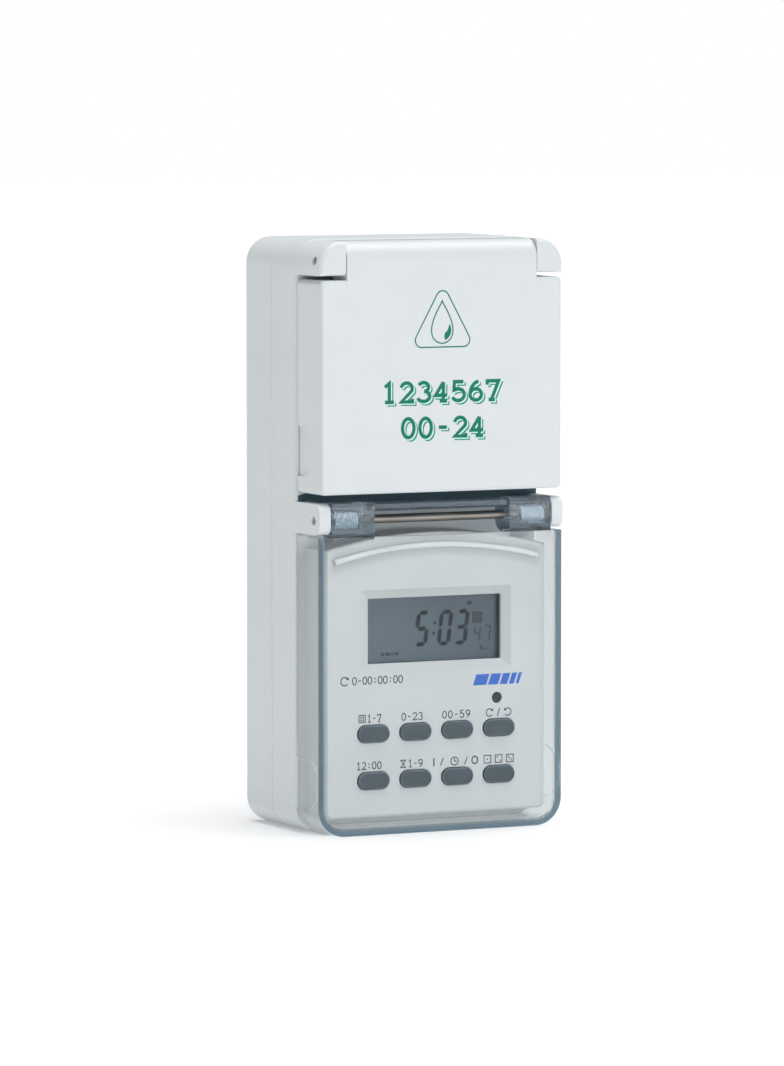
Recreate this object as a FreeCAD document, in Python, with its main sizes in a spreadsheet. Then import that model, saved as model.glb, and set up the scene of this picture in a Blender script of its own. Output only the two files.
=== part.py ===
import FreeCAD, Part
import Sketcher
import math
import os

# Weatherproof plug-in digital timer socket.
# Row frame: millimetres, origin on the plug axis at the rear face of the housing,
# +Y towards the wall outlet (out of the back), -Y towards the covers, +Z up.

doc = FreeCAD.newDocument("timer_socket")
Vector = FreeCAD.Vector
sheet = doc.addObject("Spreadsheet::Sheet", "Sizes")


class Size:
    """A number together with the spreadsheet expression that gives it."""

    def __init__(self, value, text):
        self.value = float(value)
        self.text = text

    @staticmethod
    def of(other):
        if isinstance(other, Size):
            return other
        return Size(other, repr(float(other)))

    def __add__(self, other):
        other = Size.of(other)
        return Size(self.value + other.value, "(%s + %s)" % (self.text, other.text))

    __radd__ = __add__

    def __sub__(self, other):
        other = Size.of(other)
        return Size(self.value - other.value, "(%s - %s)" % (self.text, other.text))

    def __rsub__(self, other):
        return Size.of(other) - self

    def __mul__(self, other):
        other = Size.of(other)
        return Size(self.value * other.value, "(%s * %s)" % (self.text, other.text))

    __rmul__ = __mul__

    def __truediv__(self, other):
        other = Size.of(other)
        return Size(self.value / other.value, "(%s / %s)" % (self.text, other.text))

    def __neg__(self):
        return Size(-self.value, "(0 - %s)" % self.text)

    def __lt__(self, other):
        return self.value < Size.of(other).value


row = 0


def size(alias, value):
    """One named size in the sheet."""
    global row
    row += 1
    cell = "B%d" % row
    sheet.set("A%d" % row, alias)
    sheet.set(cell, "%g" % value)
    sheet.setAlias(cell, alias)
    return Size(value, "Sizes." + alias)


# ---------------------------------------------------------------- sizes
body_width = size("body_width", 62.0)
front_depth = size("front_depth", 39.7)
face_depth = size("face_depth", 27.2)
seam_depth = size("seam_depth", 14.75)
top_height = size("top_height", 33.1)
bottom_drop = size("bottom_drop", 101.85)
corner_round = size("corner_round", 6.0)
shell_wall = size("shell_wall", 2.0)
back_wall = size("back_wall", 2.2)
back_round = size("back_round", 1.8)
seam_bevel = size("seam_bevel", 0.3)

pin_round = size("pin_round", 1.0)
pin_hole = size("pin_hole", 1.02)
swivel_hole = size("swivel_hole", 1.06)
upper_axis_depth = size("upper_axis_depth", 36.6)
upper_axis_height = size("upper_axis_height", 28.47)
lower_axis_depth = size("lower_axis_depth", 36.47)
lower_axis_drop = size("lower_axis_drop", 30.12)

upper_ear_inner = size("upper_ear_inner", 24.3)
upper_ear_low = size("upper_ear_low", 25.15)
upper_ear_high = size("upper_ear_high", 32.9)
ear_front = size("ear_front", 39.6)
lower_ear_inner = size("lower_ear_inner", 28.2)
lower_ear_top = size("lower_ear_top", 26.3)
lower_ear_drop = size("lower_ear_drop", 33.3)
roof_front = size("roof_front", 31.4)

white_half = size("white_half", 30.6)
white_drop = size("white_drop", 24.25)
white_shoulder = size("white_shoulder", 24.15)
white_top = size("white_top", 32.9)
white_plate = size("white_plate", 2.0)
white_wall = size("white_wall", 1.5)
white_tongue = size("white_tongue", 24.1)
cover_back = size("cover_back", 27.45)
grip_sink = size("grip_sink", 0.55)

clear_half = size("clear_half", 31.0)
clear_shoulder = size("clear_shoulder", 33.95)
clear_wall = size("clear_wall", 1.45)
clear_base = size("clear_base", 1.7)
clear_plate = size("clear_plate", 1.6)
clear_round = size("clear_round", 6.5)
knuckle_inner = size("knuckle_inner", 17.2)
knuckle_outer = size("knuckle_outer", 27.8)
knuckle_top = size("knuckle_top", 26.0)
knuckle_low = size("knuckle_low", 35.4)
knuckle_round = size("knuckle_round", 4.1)
pocket_round = size("pocket_round", 2.15)
pocket_inner = size("pocket_inner", 20.3)
pocket_outer = size("pocket_outer", 27.1)
hinge_pin_length = size("hinge_pin_length", 60.6)
spring_mean = size("spring_mean", 1.7)
spring_wire = size("spring_wire", 0.28)
clear_grip_low = size("clear_grip_low", 96.05)
clear_grip_high = size("clear_grip_high", 84.1)

recess_round = size("recess_round", 19.6)
collar_round = size("collar_round", 21.4)
collar_front = size("collar_front", 35.2)
recess_floor = size("recess_floor", 17.7)
contact_space = size("contact_space", 9.5)
contact_hole = size("contact_hole", 2.75)
sleeve_inner = size("sleeve_inner", 2.45)
sleeve_outer = size("sleeve_outer", 3.1)

boss_round = size("boss_round", 18.6)
boss_length = size("boss_length", 17.0)
boss_inner = size("boss_inner", 14.2)
plug_pin_round = size("plug_pin_round", 2.4)
pin_neck_round = size("pin_neck_round", 1.9)
plug_pin_length = size("plug_pin_length", 19.0)

panel_half = size("panel_half", 28.0)
panel_front = size("panel_front", 36.3)
panel_wall = size("panel_wall", 1.6)
panel_drop = size("panel_drop", 98.1)
panel_arch_mid = size("panel_arch_mid", 33.45)
panel_arch_end = size("panel_arch_end", 37.0)
window_wide = size("window_wide", 34.0)
window_high = size("window_high", 14.9)
window_drop = size("window_drop", 55.75)
bezel_wide = size("bezel_wide", 38.4)
bezel_high = size("bezel_high", 18.9)
key_wide = size("key_wide", 8.0)
key_high = size("key_high", 4.0)
key_gap = size("key_gap", 0.12)
key_front = size("key_front", 37.0)
key_pitch = size("key_pitch", 10.69)
key_upper_drop = size("key_upper_drop", 79.0)
key_lower_drop = size("key_lower_drop", 89.7)
board_front = size("board_front", 30.5)
board_thick = size("board_thick", 1.2)
power_front = size("power_front", 6.0)
power_thick = size("power_thick", 1.6)
doc.recompute()

half = body_width / 2
front = -front_depth
face = -face_depth
seam = -seam_depth
bottom = -bottom_drop
upper_axis = (-upper_axis_depth, upper_axis_height)
lower_axis = (-lower_axis_depth, -lower_axis_drop)

nodes = []


def bind(thing, name, value):
    """Set a property to a plain number or tie it to the sheet."""
    if isinstance(value, Size):
        thing.setExpression(name, value.text)
    else:
        thing.setExpression(name, repr(float(value)))


def number(value):
    return value.value if isinstance(value, Size) else float(value)


# ---------------------------------------------------------------- sketched bodies
class Piece:
    """A PartDesign body built from sketches on its own origin planes."""

    def __init__(self, name, node=True):
        self.body = doc.addObject("PartDesign::Body", name)
        self.body.Label = name
        self.count = 0
        if node:
            nodes.append(self.body)

    def sketch(self, role, offset):
        self.count += 1
        sk = self.body.newObject("Sketcher::SketchObject", "%s_profile_%d" % (self.body.Name, self.count))
        plane = [item for item in self.body.Origin.OriginFeatures if item.Role == role][0]
        sk.AttachmentSupport = [(plane, "")]
        sk.MapMode = "FlatFace"
        bind(sk, "AttachmentOffset.Base.z", offset)
        return sk

    def feature(self, kind, sk, length, reverse=False):
        item = self.body.newObject("PartDesign::" + kind, "%s_%s_%d" % (self.body.Name, kind.lower(), self.count))
        item.Profile = sk
        bind(item, "Length", length)
        item.Reversed = reverse
        sk.Visibility = False
        self.body.Tip = item
        return item

    def pad(self, back, fore, *shapes):
        """Material between two depths, drawn in the XZ plane."""
        sk = self.sketch("XZ_Plane", -Size.of(back))
        draw(sk, shapes)
        return self.feature("Pad", sk, Size.of(back) - fore)

    def cut(self, fore, back, *shapes):
        """Remove material between two depths, drawn in the XZ plane."""
        sk = self.sketch("XZ_Plane", -Size.of(fore))
        draw(sk, shapes)
        return self.feature("Pocket", sk, Size.of(back) - fore)

    def pad_x(self, low, high, *shapes):
        """Material between two x positions, drawn in the YZ plane."""
        sk = self.sketch("YZ_Plane", low)
        draw(sk, shapes)
        return self.feature("Pad", sk, Size.of(high) - low)

    def cut_x(self, low, high, *shapes):
        """Remove material between two x positions, drawn in the YZ plane."""
        sk = self.sketch("YZ_Plane", high)
        draw(sk, shapes)
        return self.feature("Pocket", sk, Size.of(high) - low)

    def dress(self, kind, chosen, amount):
        """Fillet or chamfer the edges that the test function picks."""
        doc.recompute()
        base = self.body.Tip
        names = ["Edge%d" % (i + 1) for i, edge in enumerate(base.Shape.Edges) if chosen(edge)]
        if not names:
            raise ValueError("no edges to dress on " + self.body.Label)
        self.count += 1
        item = self.body.newObject("PartDesign::" + kind, "%s_%s_%d" % (self.body.Name, kind.lower(), self.count))
        item.Base = (base, names)
        bind(item, "Radius" if kind == "Fillet" else "Size", amount)
        self.body.Tip = item
        return item


def draw(sk, shapes):
    for shape in shapes:
        shape(sk)


def dimension(sk, kind, args, value):
    index = sk.addConstraint(Sketcher.Constraint(kind, *args, number(value)))
    if isinstance(value, Size):
        sk.setExpression("Constraints[%d]" % index, value.text)


def ring(u, v, radius):
    """A circle given by its centre and radius."""

    def make(sk):
        circle = Part.Circle(Vector(number(u), number(v), 0), Vector(0, 0, 1), number(radius))
        index = sk.addGeometry(circle, False)
        dimension(sk, "DistanceX", (-1, 1, index, 3), u)
        dimension(sk, "DistanceY", (-1, 1, index, 3), v)
        dimension(sk, "Radius", (index,), radius)

    return make


def square(*corners):
    """A closed outline of level and upright lines; each corner is (u, v, rounding)."""

    def make(sk):
        count = len(corners)
        points = [Vector(number(c[0]), number(c[1]), 0) for c in corners]
        rounds = [c[2] for c in corners]
        lines = []
        arcs = []
        for i in range(count):
            a = points[i]
            b = points[(i + 1) % count]
            way = (b - a).normalize()
            start = a + way * number(rounds[i])
            stop = b - way * number(rounds[(i + 1) % count])
            lines.append(sk.addGeometry(Part.LineSegment(start, stop), False))
        for i in range(count):
            if not number(rounds[i]):
                arcs.append(None)
                continue
            r = number(rounds[i])
            before = (points[i] - points[i - 1]).normalize()
            after = (points[(i + 1) % count] - points[i]).normalize()
            centre = points[i] - before * r + after * r
            turn = before.x * after.y - before.y * after.x
            if turn > 0:
                first = math.atan2(-after.y, -after.x)
                circle = Part.Circle(centre, Vector(0, 0, 1), r)
                arc = Part.ArcOfCircle(circle, first, first + math.pi / 2)
                arcs.append((sk.addGeometry(arc, False), 1, 2))
            else:
                first = math.atan2(before.y, before.x)
                circle = Part.Circle(centre, Vector(0, 0, 1), r)
                arc = Part.ArcOfCircle(circle, first, first + math.pi / 2)
                arcs.append((sk.addGeometry(arc, False), 2, 1))
        for i in range(count):
            ahead = (i + 1) % count
            if arcs[ahead] is None:
                sk.addConstraint(Sketcher.Constraint("Coincident", lines[i], 2, lines[ahead], 1))
            else:
                arc, begin, end = arcs[ahead]
                sk.addConstraint(Sketcher.Constraint("Tangent", lines[i], 2, arc, begin))
                sk.addConstraint(Sketcher.Constraint("Tangent", arc, end, lines[ahead], 1))
                dimension(sk, "Radius", (arc,), rounds[ahead])
            level = abs(points[ahead].y - points[i].y) < 1e-9
            if level:
                sk.addConstraint(Sketcher.Constraint("Horizontal", lines[i]))
                dimension(sk, "DistanceY", (-1, 1, lines[i], 1), corners[i][1])
            else:
                sk.addConstraint(Sketcher.Constraint("Vertical", lines[i]))
                dimension(sk, "DistanceX", (-1, 1, lines[i], 1), corners[i][0])

    return make


def slab(u0, u1, v0, v1, rounding=0):
    """A rectangle with equal corner roundings."""
    return square((u0, v0, rounding), (u1, v0, rounding), (u1, v1, rounding), (u0, v1, rounding))


def arched(half_width, low, mid, end, rounding):
    """A rectangle whose top is an arc through (0, mid) and (+-half_width, end)."""

    def make(sk):
        w, lo, hi, side = number(half_width), number(low), number(mid), number(end)
        r = number(rounding)
        lines = [
            sk.addGeometry(Part.LineSegment(Vector(-w + r, lo, 0), Vector(w - r, lo, 0)), False),
            sk.addGeometry(Part.LineSegment(Vector(w, lo + r, 0), Vector(w, side, 0)), False),
            sk.addGeometry(Part.LineSegment(Vector(-w, side, 0), Vector(-w, lo + r, 0)), False),
        ]
        top = sk.addGeometry(Part.Arc(Vector(w, side, 0), Vector(0, hi, 0), Vector(-w, side, 0)), False)
        up = Vector(0, 0, 1)
        right = Part.ArcOfCircle(Part.Circle(Vector(w - r, lo + r, 0), up, r), -math.pi / 2, 0)
        left = Part.ArcOfCircle(Part.Circle(Vector(-w + r, lo + r, 0), up, r), math.pi, 1.5 * math.pi)
        right = sk.addGeometry(right, False)
        left = sk.addGeometry(left, False)
        join = Sketcher.Constraint
        sk.addConstraint(join("Horizontal", lines[0]))
        sk.addConstraint(join("Vertical", lines[1]))
        sk.addConstraint(join("Vertical", lines[2]))
        sk.addConstraint(join("Tangent", lines[0], 2, right, 1))
        sk.addConstraint(join("Tangent", right, 2, lines[1], 1))
        sk.addConstraint(join("Tangent", lines[2], 2, left, 1))
        sk.addConstraint(join("Tangent", left, 2, lines[0], 1))
        sk.addConstraint(join("Coincident", lines[1], 2, top, 1))
        sk.addConstraint(join("Coincident", top, 2, lines[2], 1))
        dimension(sk, "Radius", (right,), rounding)
        dimension(sk, "Radius", (left,), rounding)
        dimension(sk, "DistanceY", (-1, 1, lines[0], 1), low)
        dimension(sk, "DistanceX", (-1, 1, lines[1], 2), half_width)
        dimension(sk, "DistanceX", (-1, 1, lines[2], 1), -Size.of(half_width))
        dimension(sk, "DistanceY", (-1, 1, lines[1], 2), end)
        dimension(sk, "DistanceY", (-1, 1, lines[2], 1), end)
        rise = Size.of(mid) - end
        dimension(sk, "Radius", (top,), (Size.of(half_width) * half_width + rise * rise) / (2 * rise))

    return make


def edge_box(x=None, y=None, z=None, tol=0.02):
    """A test that an edge lies wholly inside the given ranges."""

    def chosen(edge):
        box = edge.BoundBox
        for limits, low, high in ((x, box.XMin, box.XMax), (y, box.YMin, box.YMax), (z, box.ZMin, box.ZMax)):
            if limits is not None:
                if low < number(limits[0]) - tol or high > number(limits[1]) + tol:
                    return False
        return True

    return chosen


# ---------------------------------------------------------------- primitives
def block(name, x0, x1, y0, y1, z0, z1, node=True):
    """A plain box between six planes."""
    item = doc.addObject("Part::Box", name)
    item.Label = name
    bind(item, "Length", Size.of(x1) - x0)
    bind(item, "Width", Size.of(y1) - y0)
    bind(item, "Height", Size.of(z1) - z0)
    bind(item, "Placement.Base.x", Size.of(x0))
    bind(item, "Placement.Base.y", Size.of(y0))
    bind(item, "Placement.Base.z", Size.of(z0))
    if node:
        nodes.append(item)
    return item


def rod(name, axis, x, y, z, radius, length, node=True):
    """A cylinder that starts at a point and runs along +X, +Y or +Z."""
    item = doc.addObject("Part::Cylinder", name)
    item.Label = name
    turns = {"x": (Vector(0, 1, 0), 90), "y": (Vector(1, 0, 0), -90), "z": (Vector(0, 0, 1), 0)}
    item.Placement = FreeCAD.Placement(Vector(0, 0, 0), FreeCAD.Rotation(*turns[axis]))
    bind(item, "Radius", radius)
    bind(item, "Height", length)
    bind(item, "Placement.Base.x", Size.of(x))
    bind(item, "Placement.Base.y", Size.of(y))
    bind(item, "Placement.Base.z", Size.of(z))
    if node:
        nodes.append(item)
    return item


def fuse(name, parts, node=True):
    item = doc.addObject("Part::MultiFuse", name)
    item.Label = name
    item.Shapes = parts
    if node:
        nodes.append(item)
    return item


def minus(name, base, tool, node=True):
    item = doc.addObject("Part::Cut", name)
    item.Label = name
    item.Base = base
    item.Tool = tool
    if node:
        nodes.append(item)
    return item


def group(name, parts):
    """Several like pieces kept as one node."""
    item = doc.addObject("Part::Compound", name)
    item.Label = name
    item.Links = parts
    nodes.append(item)
    return item


def soften(name, base, radius, chosen, node=True):
    """Round the picked edges of a primitive or boolean."""
    doc.recompute()
    item = doc.addObject("Part::Fillet", name)
    item.Label = name
    item.Base = base
    picked = [i + 1 for i, edge in enumerate(base.Shape.Edges) if chosen(edge)]
    item.Edges = [(i, number(radius), number(radius)) for i in picked]
    if node:
        nodes.append(item)
    return item


# ---------------------------------------------------------------- housing
SCREW_X = 25.2
SCREW_Z = (27.3, -27.6, -95.9)


def screw_spots():
    return [(sx * SCREW_X, z) for z in SCREW_Z for sx in (-1, 1)]


def rear_housing():
    part = Piece("rear_housing")
    part.pad(0, seam, slab(-half, half, bottom, top_height, corner_round))
    inner = half - shell_wall
    part.cut(seam, -back_wall, slab(-inner, inner, bottom + shell_wall, top_height - shell_wall,
                                    corner_round - shell_wall))
    part.dress("Fillet", edge_box(y=(0, 0)), back_round)
    part.dress("Chamfer", lambda e: outer_rim(e, seam), seam_bevel)
    part.pad(boss_length, -back_wall, ring(0, 0, boss_round))
    part.dress("Fillet", edge_box(y=(boss_length, boss_length)), 1.2)
    part.cut(-back_wall, boss_length - 2.0, ring(0, 0, boss_inner))
    posts = [ring(x, z, 3.9) for x, z in screw_spots()]
    part.pad(-back_wall / 2, seam, *posts)
    part.cut(seam, 0.5, *[ring(x, z, 1.65) for x, z in screw_spots()])
    part.cut(-8, 0.5, *[ring(x, z, 2.9) for x, z in screw_spots()])
    # side guide notches and the two earth strip channels of the plug
    part.cut(0, boss_length + 1, slab(boss_round - 2.4, boss_round + 1, -2.3, 2.3),
             slab(-boss_round - 1, -boss_round + 2.4, -2.3, 2.3),
             slab(-3.2, 3.2, boss_round - 1.5, boss_round + 1),
             slab(-3.2, 3.2, -boss_round - 1, -boss_round + 1.5))
    part.cut(boss_length - 3, boss_length + 1, ring(contact_space, 0, pin_neck_round + 0.05),
             ring(-contact_space, 0, pin_neck_round + 0.05))
    part.cut(boss_length - 3, boss_length + 1, ring(0, -10, 2.7))
    # groove for the seam gasket
    part.cut(seam, seam + 0.6, slab(-half + 0.55, half - 0.55, bottom + 0.55, top_height - 0.55, 5.45),
             slab(-half + 1.45, half - 1.45, bottom + 1.45, top_height - 1.45, 4.55))
    # four standoffs for the power board
    part.pad(-back_wall / 2, -4.4, *[ring(x, z, 2.2) for x, z in board_spots()])
    part.cut(-4.5, -1.0, *[ring(x, z, 0.95) for x, z in board_spots()])
    return part


def outer_rim(edge, depth):
    """Edges of the outer outline that lie in one depth plane."""
    box = edge.BoundBox
    if abs(box.YMin - number(depth)) > 0.01 or abs(box.YMax - number(depth)) > 0.01:
        return False
    middle = edge.valueAt((edge.FirstParameter + edge.LastParameter) / 2)
    reach = max(abs(middle.x) - number(half), middle.z - number(top_height), number(bottom) - middle.z)
    return reach > -1.9


def board_spots():
    return [(sx * 22.0, z) for z in (-35.0, -87.0) for sx in (-1, 1)]


def front_housing():
    part = Piece("front_housing")
    part.pad(seam, face, slab(-half, half, bottom, top_height, corner_round))
    inner = half - shell_wall
    part.cut(face + shell_wall, seam, slab(-inner, inner, bottom + shell_wall, top_height - shell_wall,
                                           corner_round - shell_wall))
    part.dress("Chamfer", lambda e: outer_rim(e, seam), seam_bevel)
    part.dress("Fillet", lambda e: outer_rim(e, face), 0.8)
    # upper ears and the roof ledge behind the tongue of the socket cover
    part.pad(face + 1.0, -ear_front,
             square((upper_ear_inner, upper_ear_low, 0), (half, upper_ear_low, 0), (half, upper_ear_high, 5.8),
                    (upper_ear_inner, upper_ear_high, 0)),
             square((-half, upper_ear_low, 0), (-upper_ear_inner, upper_ear_low, 0),
                    (-upper_ear_inner, upper_ear_high, 0), (-half, upper_ear_high, 5.8)))
    part.pad(face + 1.0, -roof_front, slab(-upper_ear_inner - 0.5, upper_ear_inner + 0.5, upper_ear_low,
                                           upper_ear_high))
    # lower ears
    part.pad(face + 1.0, -ear_front,
             slab(lower_ear_inner, half, -lower_ear_drop, -lower_ear_top),
             slab(-half, -lower_ear_inner, -lower_ear_drop, -lower_ear_top))
    part.dress("Fillet", lambda e: ear_edge(e, -lower_ear_drop, -lower_ear_top), 2.2)
    part.dress("Fillet", lambda e: ear_edge(e, upper_ear_low, upper_ear_high), 1.2)
    # pin holes
    part.cut_x(-half - 1, half + 1, ring(upper_axis[0], upper_axis[1], pin_hole),
               ring(lower_axis[0], lower_axis[1], pin_hole))
    # opening for the socket cup, opening behind the control panel and its clip slots
    part.cut(face - 1, seam, ring(0, 0, collar_round + 0.05))
    part.cut(face - 1, face + 4, slab(-24, 24, -94, -42, 1.0))
    part.cut(face - 1, face + 4, *[slab(*clip_window(side, z), 0.2) for side, z in clip_spots()])
    # screw posts
    part.pad(seam, face + 1.0, *[ring(x, z, 3.2) for x, z in screw_spots()])
    part.cut(face + 4.0, seam + 1, *[ring(x, z, 1.25) for x, z in screw_spots()])
    return part


def clip_spots():
    return [(side, z) for z in (-88.0, -52.0) for side in (-1, 1)]


def clip_window(side, z):
    inner = panel_half - panel_wall - 0.1
    outer = panel_half + 0.05
    if side > 0:
        return (inner, outer, z - 3.1, z + 3.1)
    return (-outer, -inner, z - 3.1, z + 3.1)


def ear_edge(edge, low, high):
    """Level front edges of an ear, along X."""
    box = edge.BoundBox
    if abs(box.YMin + number(ear_front)) > 0.01 or abs(box.YMax + number(ear_front)) > 0.01:
        return False
    if box.ZMax - box.ZMin > 0.01 or box.XMax - box.XMin < 0.4:
        return False
    return abs(box.ZMin - number(low)) < 0.02 or abs(box.ZMax - number(high)) < 0.02


def shell_gasket():
    part = Piece("shell_gasket")
    part.pad(seam + 0.58, seam + 0.02,
             slab(-half + 0.6, half - 0.6, bottom + 0.6, top_height - 0.6, 5.4),
             slab(-half + 1.4, half - 1.4, bottom + 1.4, top_height - 1.4, 4.6))


def housing_screws():
    screws = []
    for i, (x, z) in enumerate(screw_spots()):
        head = rod("screw_head_%d" % i, "y", x, -8, z, 2.7, 1.9, False)
        shank = rod("screw_shank_%d" % i, "y", x, -21, z, 1.2, 13.5, False)
        cross_a = block("screw_cross_a_%d" % i, x - 1.5, x + 1.5, -7.1, -5.5, z - 0.3, z + 0.3, False)
        cross_b = block("screw_cross_b_%d" % i, x - 0.3, x + 0.3, -7.1, -5.5, z - 1.5, z + 1.5, False)
        body = fuse("screw_body_%d" % i, [head, shank], False)
        cross = fuse("screw_cross_%d" % i, [cross_a, cross_b], False)
        screws.append(minus("screw_%d" % i, body, cross, False))
    group("housing_screws", screws)


# ---------------------------------------------------------------- socket cover
def socket_cover():
    part = Piece("socket_cover")
    w = white_half
    part.pad(-cover_back, front, slab(-w, w, -white_drop, white_shoulder))
    part.cut(front + white_plate, -cover_back,
             slab(-w + white_wall, w - white_wall, -white_drop + white_wall, white_shoulder - white_wall, 1.0))
    # the upper wall is shallow so that it clears the collar as the cover swings
    part.cut(front + 6.4, -cover_back, slab(-w + white_wall, w - white_wall, 15, white_shoulder + 1))
    part.dress("Fillet", lambda e: upright(e, w), 1.1)
    part.dress("Fillet", edge_box(y=(front, front)), 0.7)
    # tongue between the ears, rounded over the hinge and clear above the gasket
    tongue_low = collar_round + 0.05
    part.pad_x(-white_tongue, white_tongue,
               square((front, tongue_low, 0), (front + 4, tongue_low, 0),
                      (front + 4, white_shoulder - 1.5, 0), (-upper_axis_depth + 4.1, white_shoulder - 1.5, 1.4),
                      (-upper_axis_depth + 4.1, white_top, 2.9), (front, white_top, 4.2)))
    part.cut_x(-half, half, ring(upper_axis[0], upper_axis[1], swivel_hole))
    part.cut_x(-5.2, 5.2, slab(upper_axis[0] - 2.2, upper_axis[0] + 6, upper_axis[1] - 2.2, upper_axis[1] + 2.2, 0.4))
    # finger grips near the bottom of both side walls
    scoop = slab(front + 4.2, -cover_back + 8, -20.4, -9.0, 5.6)
    part.cut_x(w - grip_sink, w + 1, scoop)
    part.cut_x(-w - 1, -w + grip_sink, scoop)
    return part


def upright(edge, reach):
    """Front to back edges at the outer side faces of a cover."""
    box = edge.BoundBox
    long_enough = box.YMax - box.YMin > 5
    straight = box.XMax - box.XMin < 0.01 and box.ZMax - box.ZMin < 0.01
    return long_enough and straight and abs(abs(box.XMin) - number(reach)) < 0.02


def socket_cover_gasket():
    part = Piece("socket_cover_gasket")
    back = front + white_plate
    part.pad(back + 2.4, back + 0.0, ring(0, 0, collar_round - 0.1), ring(0, 0, recess_round - 1.0))


def hinge_pin(name, axis):
    pin = rod(name + "_blank", "x", -hinge_pin_length / 2, axis[0], axis[1], pin_round, hinge_pin_length, False)
    soften(name, pin, 0.2, edge_box())


def coil(name, x, axis, turns, pitch):
    """A torsion spring winding round a hinge pin."""
    helix = doc.addObject("Part::Helix", name + "_path")
    helix.Pitch = pitch
    helix.Height = pitch * turns
    bind(helix, "Radius", spring_mean)
    section = doc.addObject("Part::Circle", name + "_section")
    bind(section, "Radius", spring_wire)
    section.Placement = FreeCAD.Placement(Vector(0, 0, 0), FreeCAD.Rotation(Vector(1, 0, 0), 90))
    bind(section, "Placement.Base.x", spring_mean)
    sweep = doc.addObject("Part::Sweep", name + "_winding")
    sweep.Sections = [section]
    sweep.Spine = (helix, ["Edge1"])
    sweep.Solid = True
    sweep.Frenet = True
    body = sweep
    body.Placement = FreeCAD.Placement(Vector(0, 0, 0), FreeCAD.Rotation(Vector(0, 1, 0), 90))
    bind(body, "Placement.Base.x", Size.of(x))
    bind(body, "Placement.Base.y", axis[0])
    bind(body, "Placement.Base.z", axis[1])
    return body


# ---------------------------------------------------------------- timer cover
def timer_cover():
    part = Piece("timer_cover")
    w = clear_half
    part.pad(-cover_back, front, square((-w, bottom, clear_round), (w, bottom, clear_round),
                                        (w, -clear_shoulder, 0), (-w, -clear_shoulder, 0)))
    part.dress("Fillet", edge_box(y=(front, front)), 0.9)
    part.cut(front + clear_plate, -cover_back,
             square((-w + clear_wall, bottom + clear_base, clear_round - clear_wall),
                    (w - clear_wall, bottom + clear_base, clear_round - clear_wall),
                    (w - clear_wall, -clear_shoulder + 1, 0), (-w + clear_wall, -clear_shoulder + 1, 0)))
    y, z = lower_axis
    knuckle = square((front, -knuckle_low, 0.5), (front + 1.7, -knuckle_low, 0),
                     (front + 1.7, z - knuckle_round + 0.2, 0), (y + knuckle_round, z - knuckle_round + 0.2, 3.4),
                     (y + knuckle_round, -knuckle_top, 3.4), (front, -knuckle_top, 1.0))
    part.pad_x(knuckle_inner, knuckle_outer, knuckle)
    part.pad_x(-knuckle_outer, -knuckle_inner, knuckle)
    # web above the rod that joins the two knuckles
    part.pad_x(-knuckle_inner - 0.5, knuckle_inner + 0.5,
               slab(front + 1.0, y + 2.2, -knuckle_top - 2.2, -knuckle_top - 0.15, 0.5))
    part.cut_x(-half, half, ring(y, z, swivel_hole))
    slot = slab(y - pocket_round, y + 6, z - pocket_round, z + pocket_round, 0.4)
    part.cut_x(pocket_inner, pocket_outer, slot)
    part.cut_x(-pocket_outer, -pocket_inner, slot)
    scoop = slab(front + 1.5, -cover_back + 8, -clear_grip_low, -clear_grip_high, 5.9)
    part.cut_x(w - 0.5, w + 1, scoop)
    part.cut_x(-w - 1, -w + 0.5, scoop)
    return part


# ---------------------------------------------------------------- socket and plug
def socket_insert():
    part = Piece("socket_insert")
    floor_back = -recess_floor + 1.8
    part.pad(floor_back, -collar_front, ring(0, 0, collar_round))
    part.dress("Fillet", edge_box(y=(-collar_front, -collar_front)), 0.5)
    part.cut(-collar_front, -recess_floor, ring(0, 0, recess_round))
    part.pad(face + 3.5, face + 2.0, ring(0, 0, collar_round + 1.6), ring(0, 0, collar_round - 0.8))
    # side guide ribs
    part.pad(-recess_floor + 0.5, -collar_front + 2.5,
             slab(recess_round - 2.1, recess_round + 0.8, -2.1, 2.1, 0.3),
             slab(-recess_round - 0.8, -recess_round + 2.1, -2.1, 2.1, 0.3))
    spots = (contact_space, -contact_space)
    part.pad(-8, floor_back - 0.5, *[ring(x, 0, 4.3) for x in spots])
    part.cut(floor_back, -7, *[ring(x, 0, sleeve_outer + 0.05) for x in spots])
    part.cut(-recess_floor - 1, floor_back + 1, *[ring(x, 0, contact_hole) for x in spots])
    part.dress("Fillet", lambda e: hole_mouth(e), 0.5)
    # slots for the earth clips
    part.cut(-recess_floor - 1, floor_back + 1, slab(-3.3, 3.3, 17.6, 19.3), slab(-3.3, 3.3, -19.3, -17.6))
    return part


def hole_mouth(edge):
    box = edge.BoundBox
    level = abs(box.YMin + number(recess_floor)) < 0.01 and abs(box.YMax + number(recess_floor)) < 0.01
    return level and abs(box.ZMax - number(contact_hole)) < 0.05 and abs(box.ZMin) < 3


def contact(name, x, wire_tab):
    back = -recess_floor + 1.8
    sleeve = rod(name + "_sleeve", "y", x, back + 0.1, 0, sleeve_outer, 10.3, False)
    hollow = rod(name + "_hollow", "y", x, back - 1, 0, sleeve_inner, 10.6, False)
    split = block(name + "_split", x - 0.4, x + 0.4, back - 1, back + 8, 0, 5, False)
    tube = minus(name + "_tube", minus(name + "_bore", sleeve, hollow, False), split, False)
    tab = block(name + "_tab", x - 2.5, x + 2.5, back + 9.6, back + 10.4, wire_tab, 2.5, False)
    fuse(name, [tube, tab])


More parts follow.
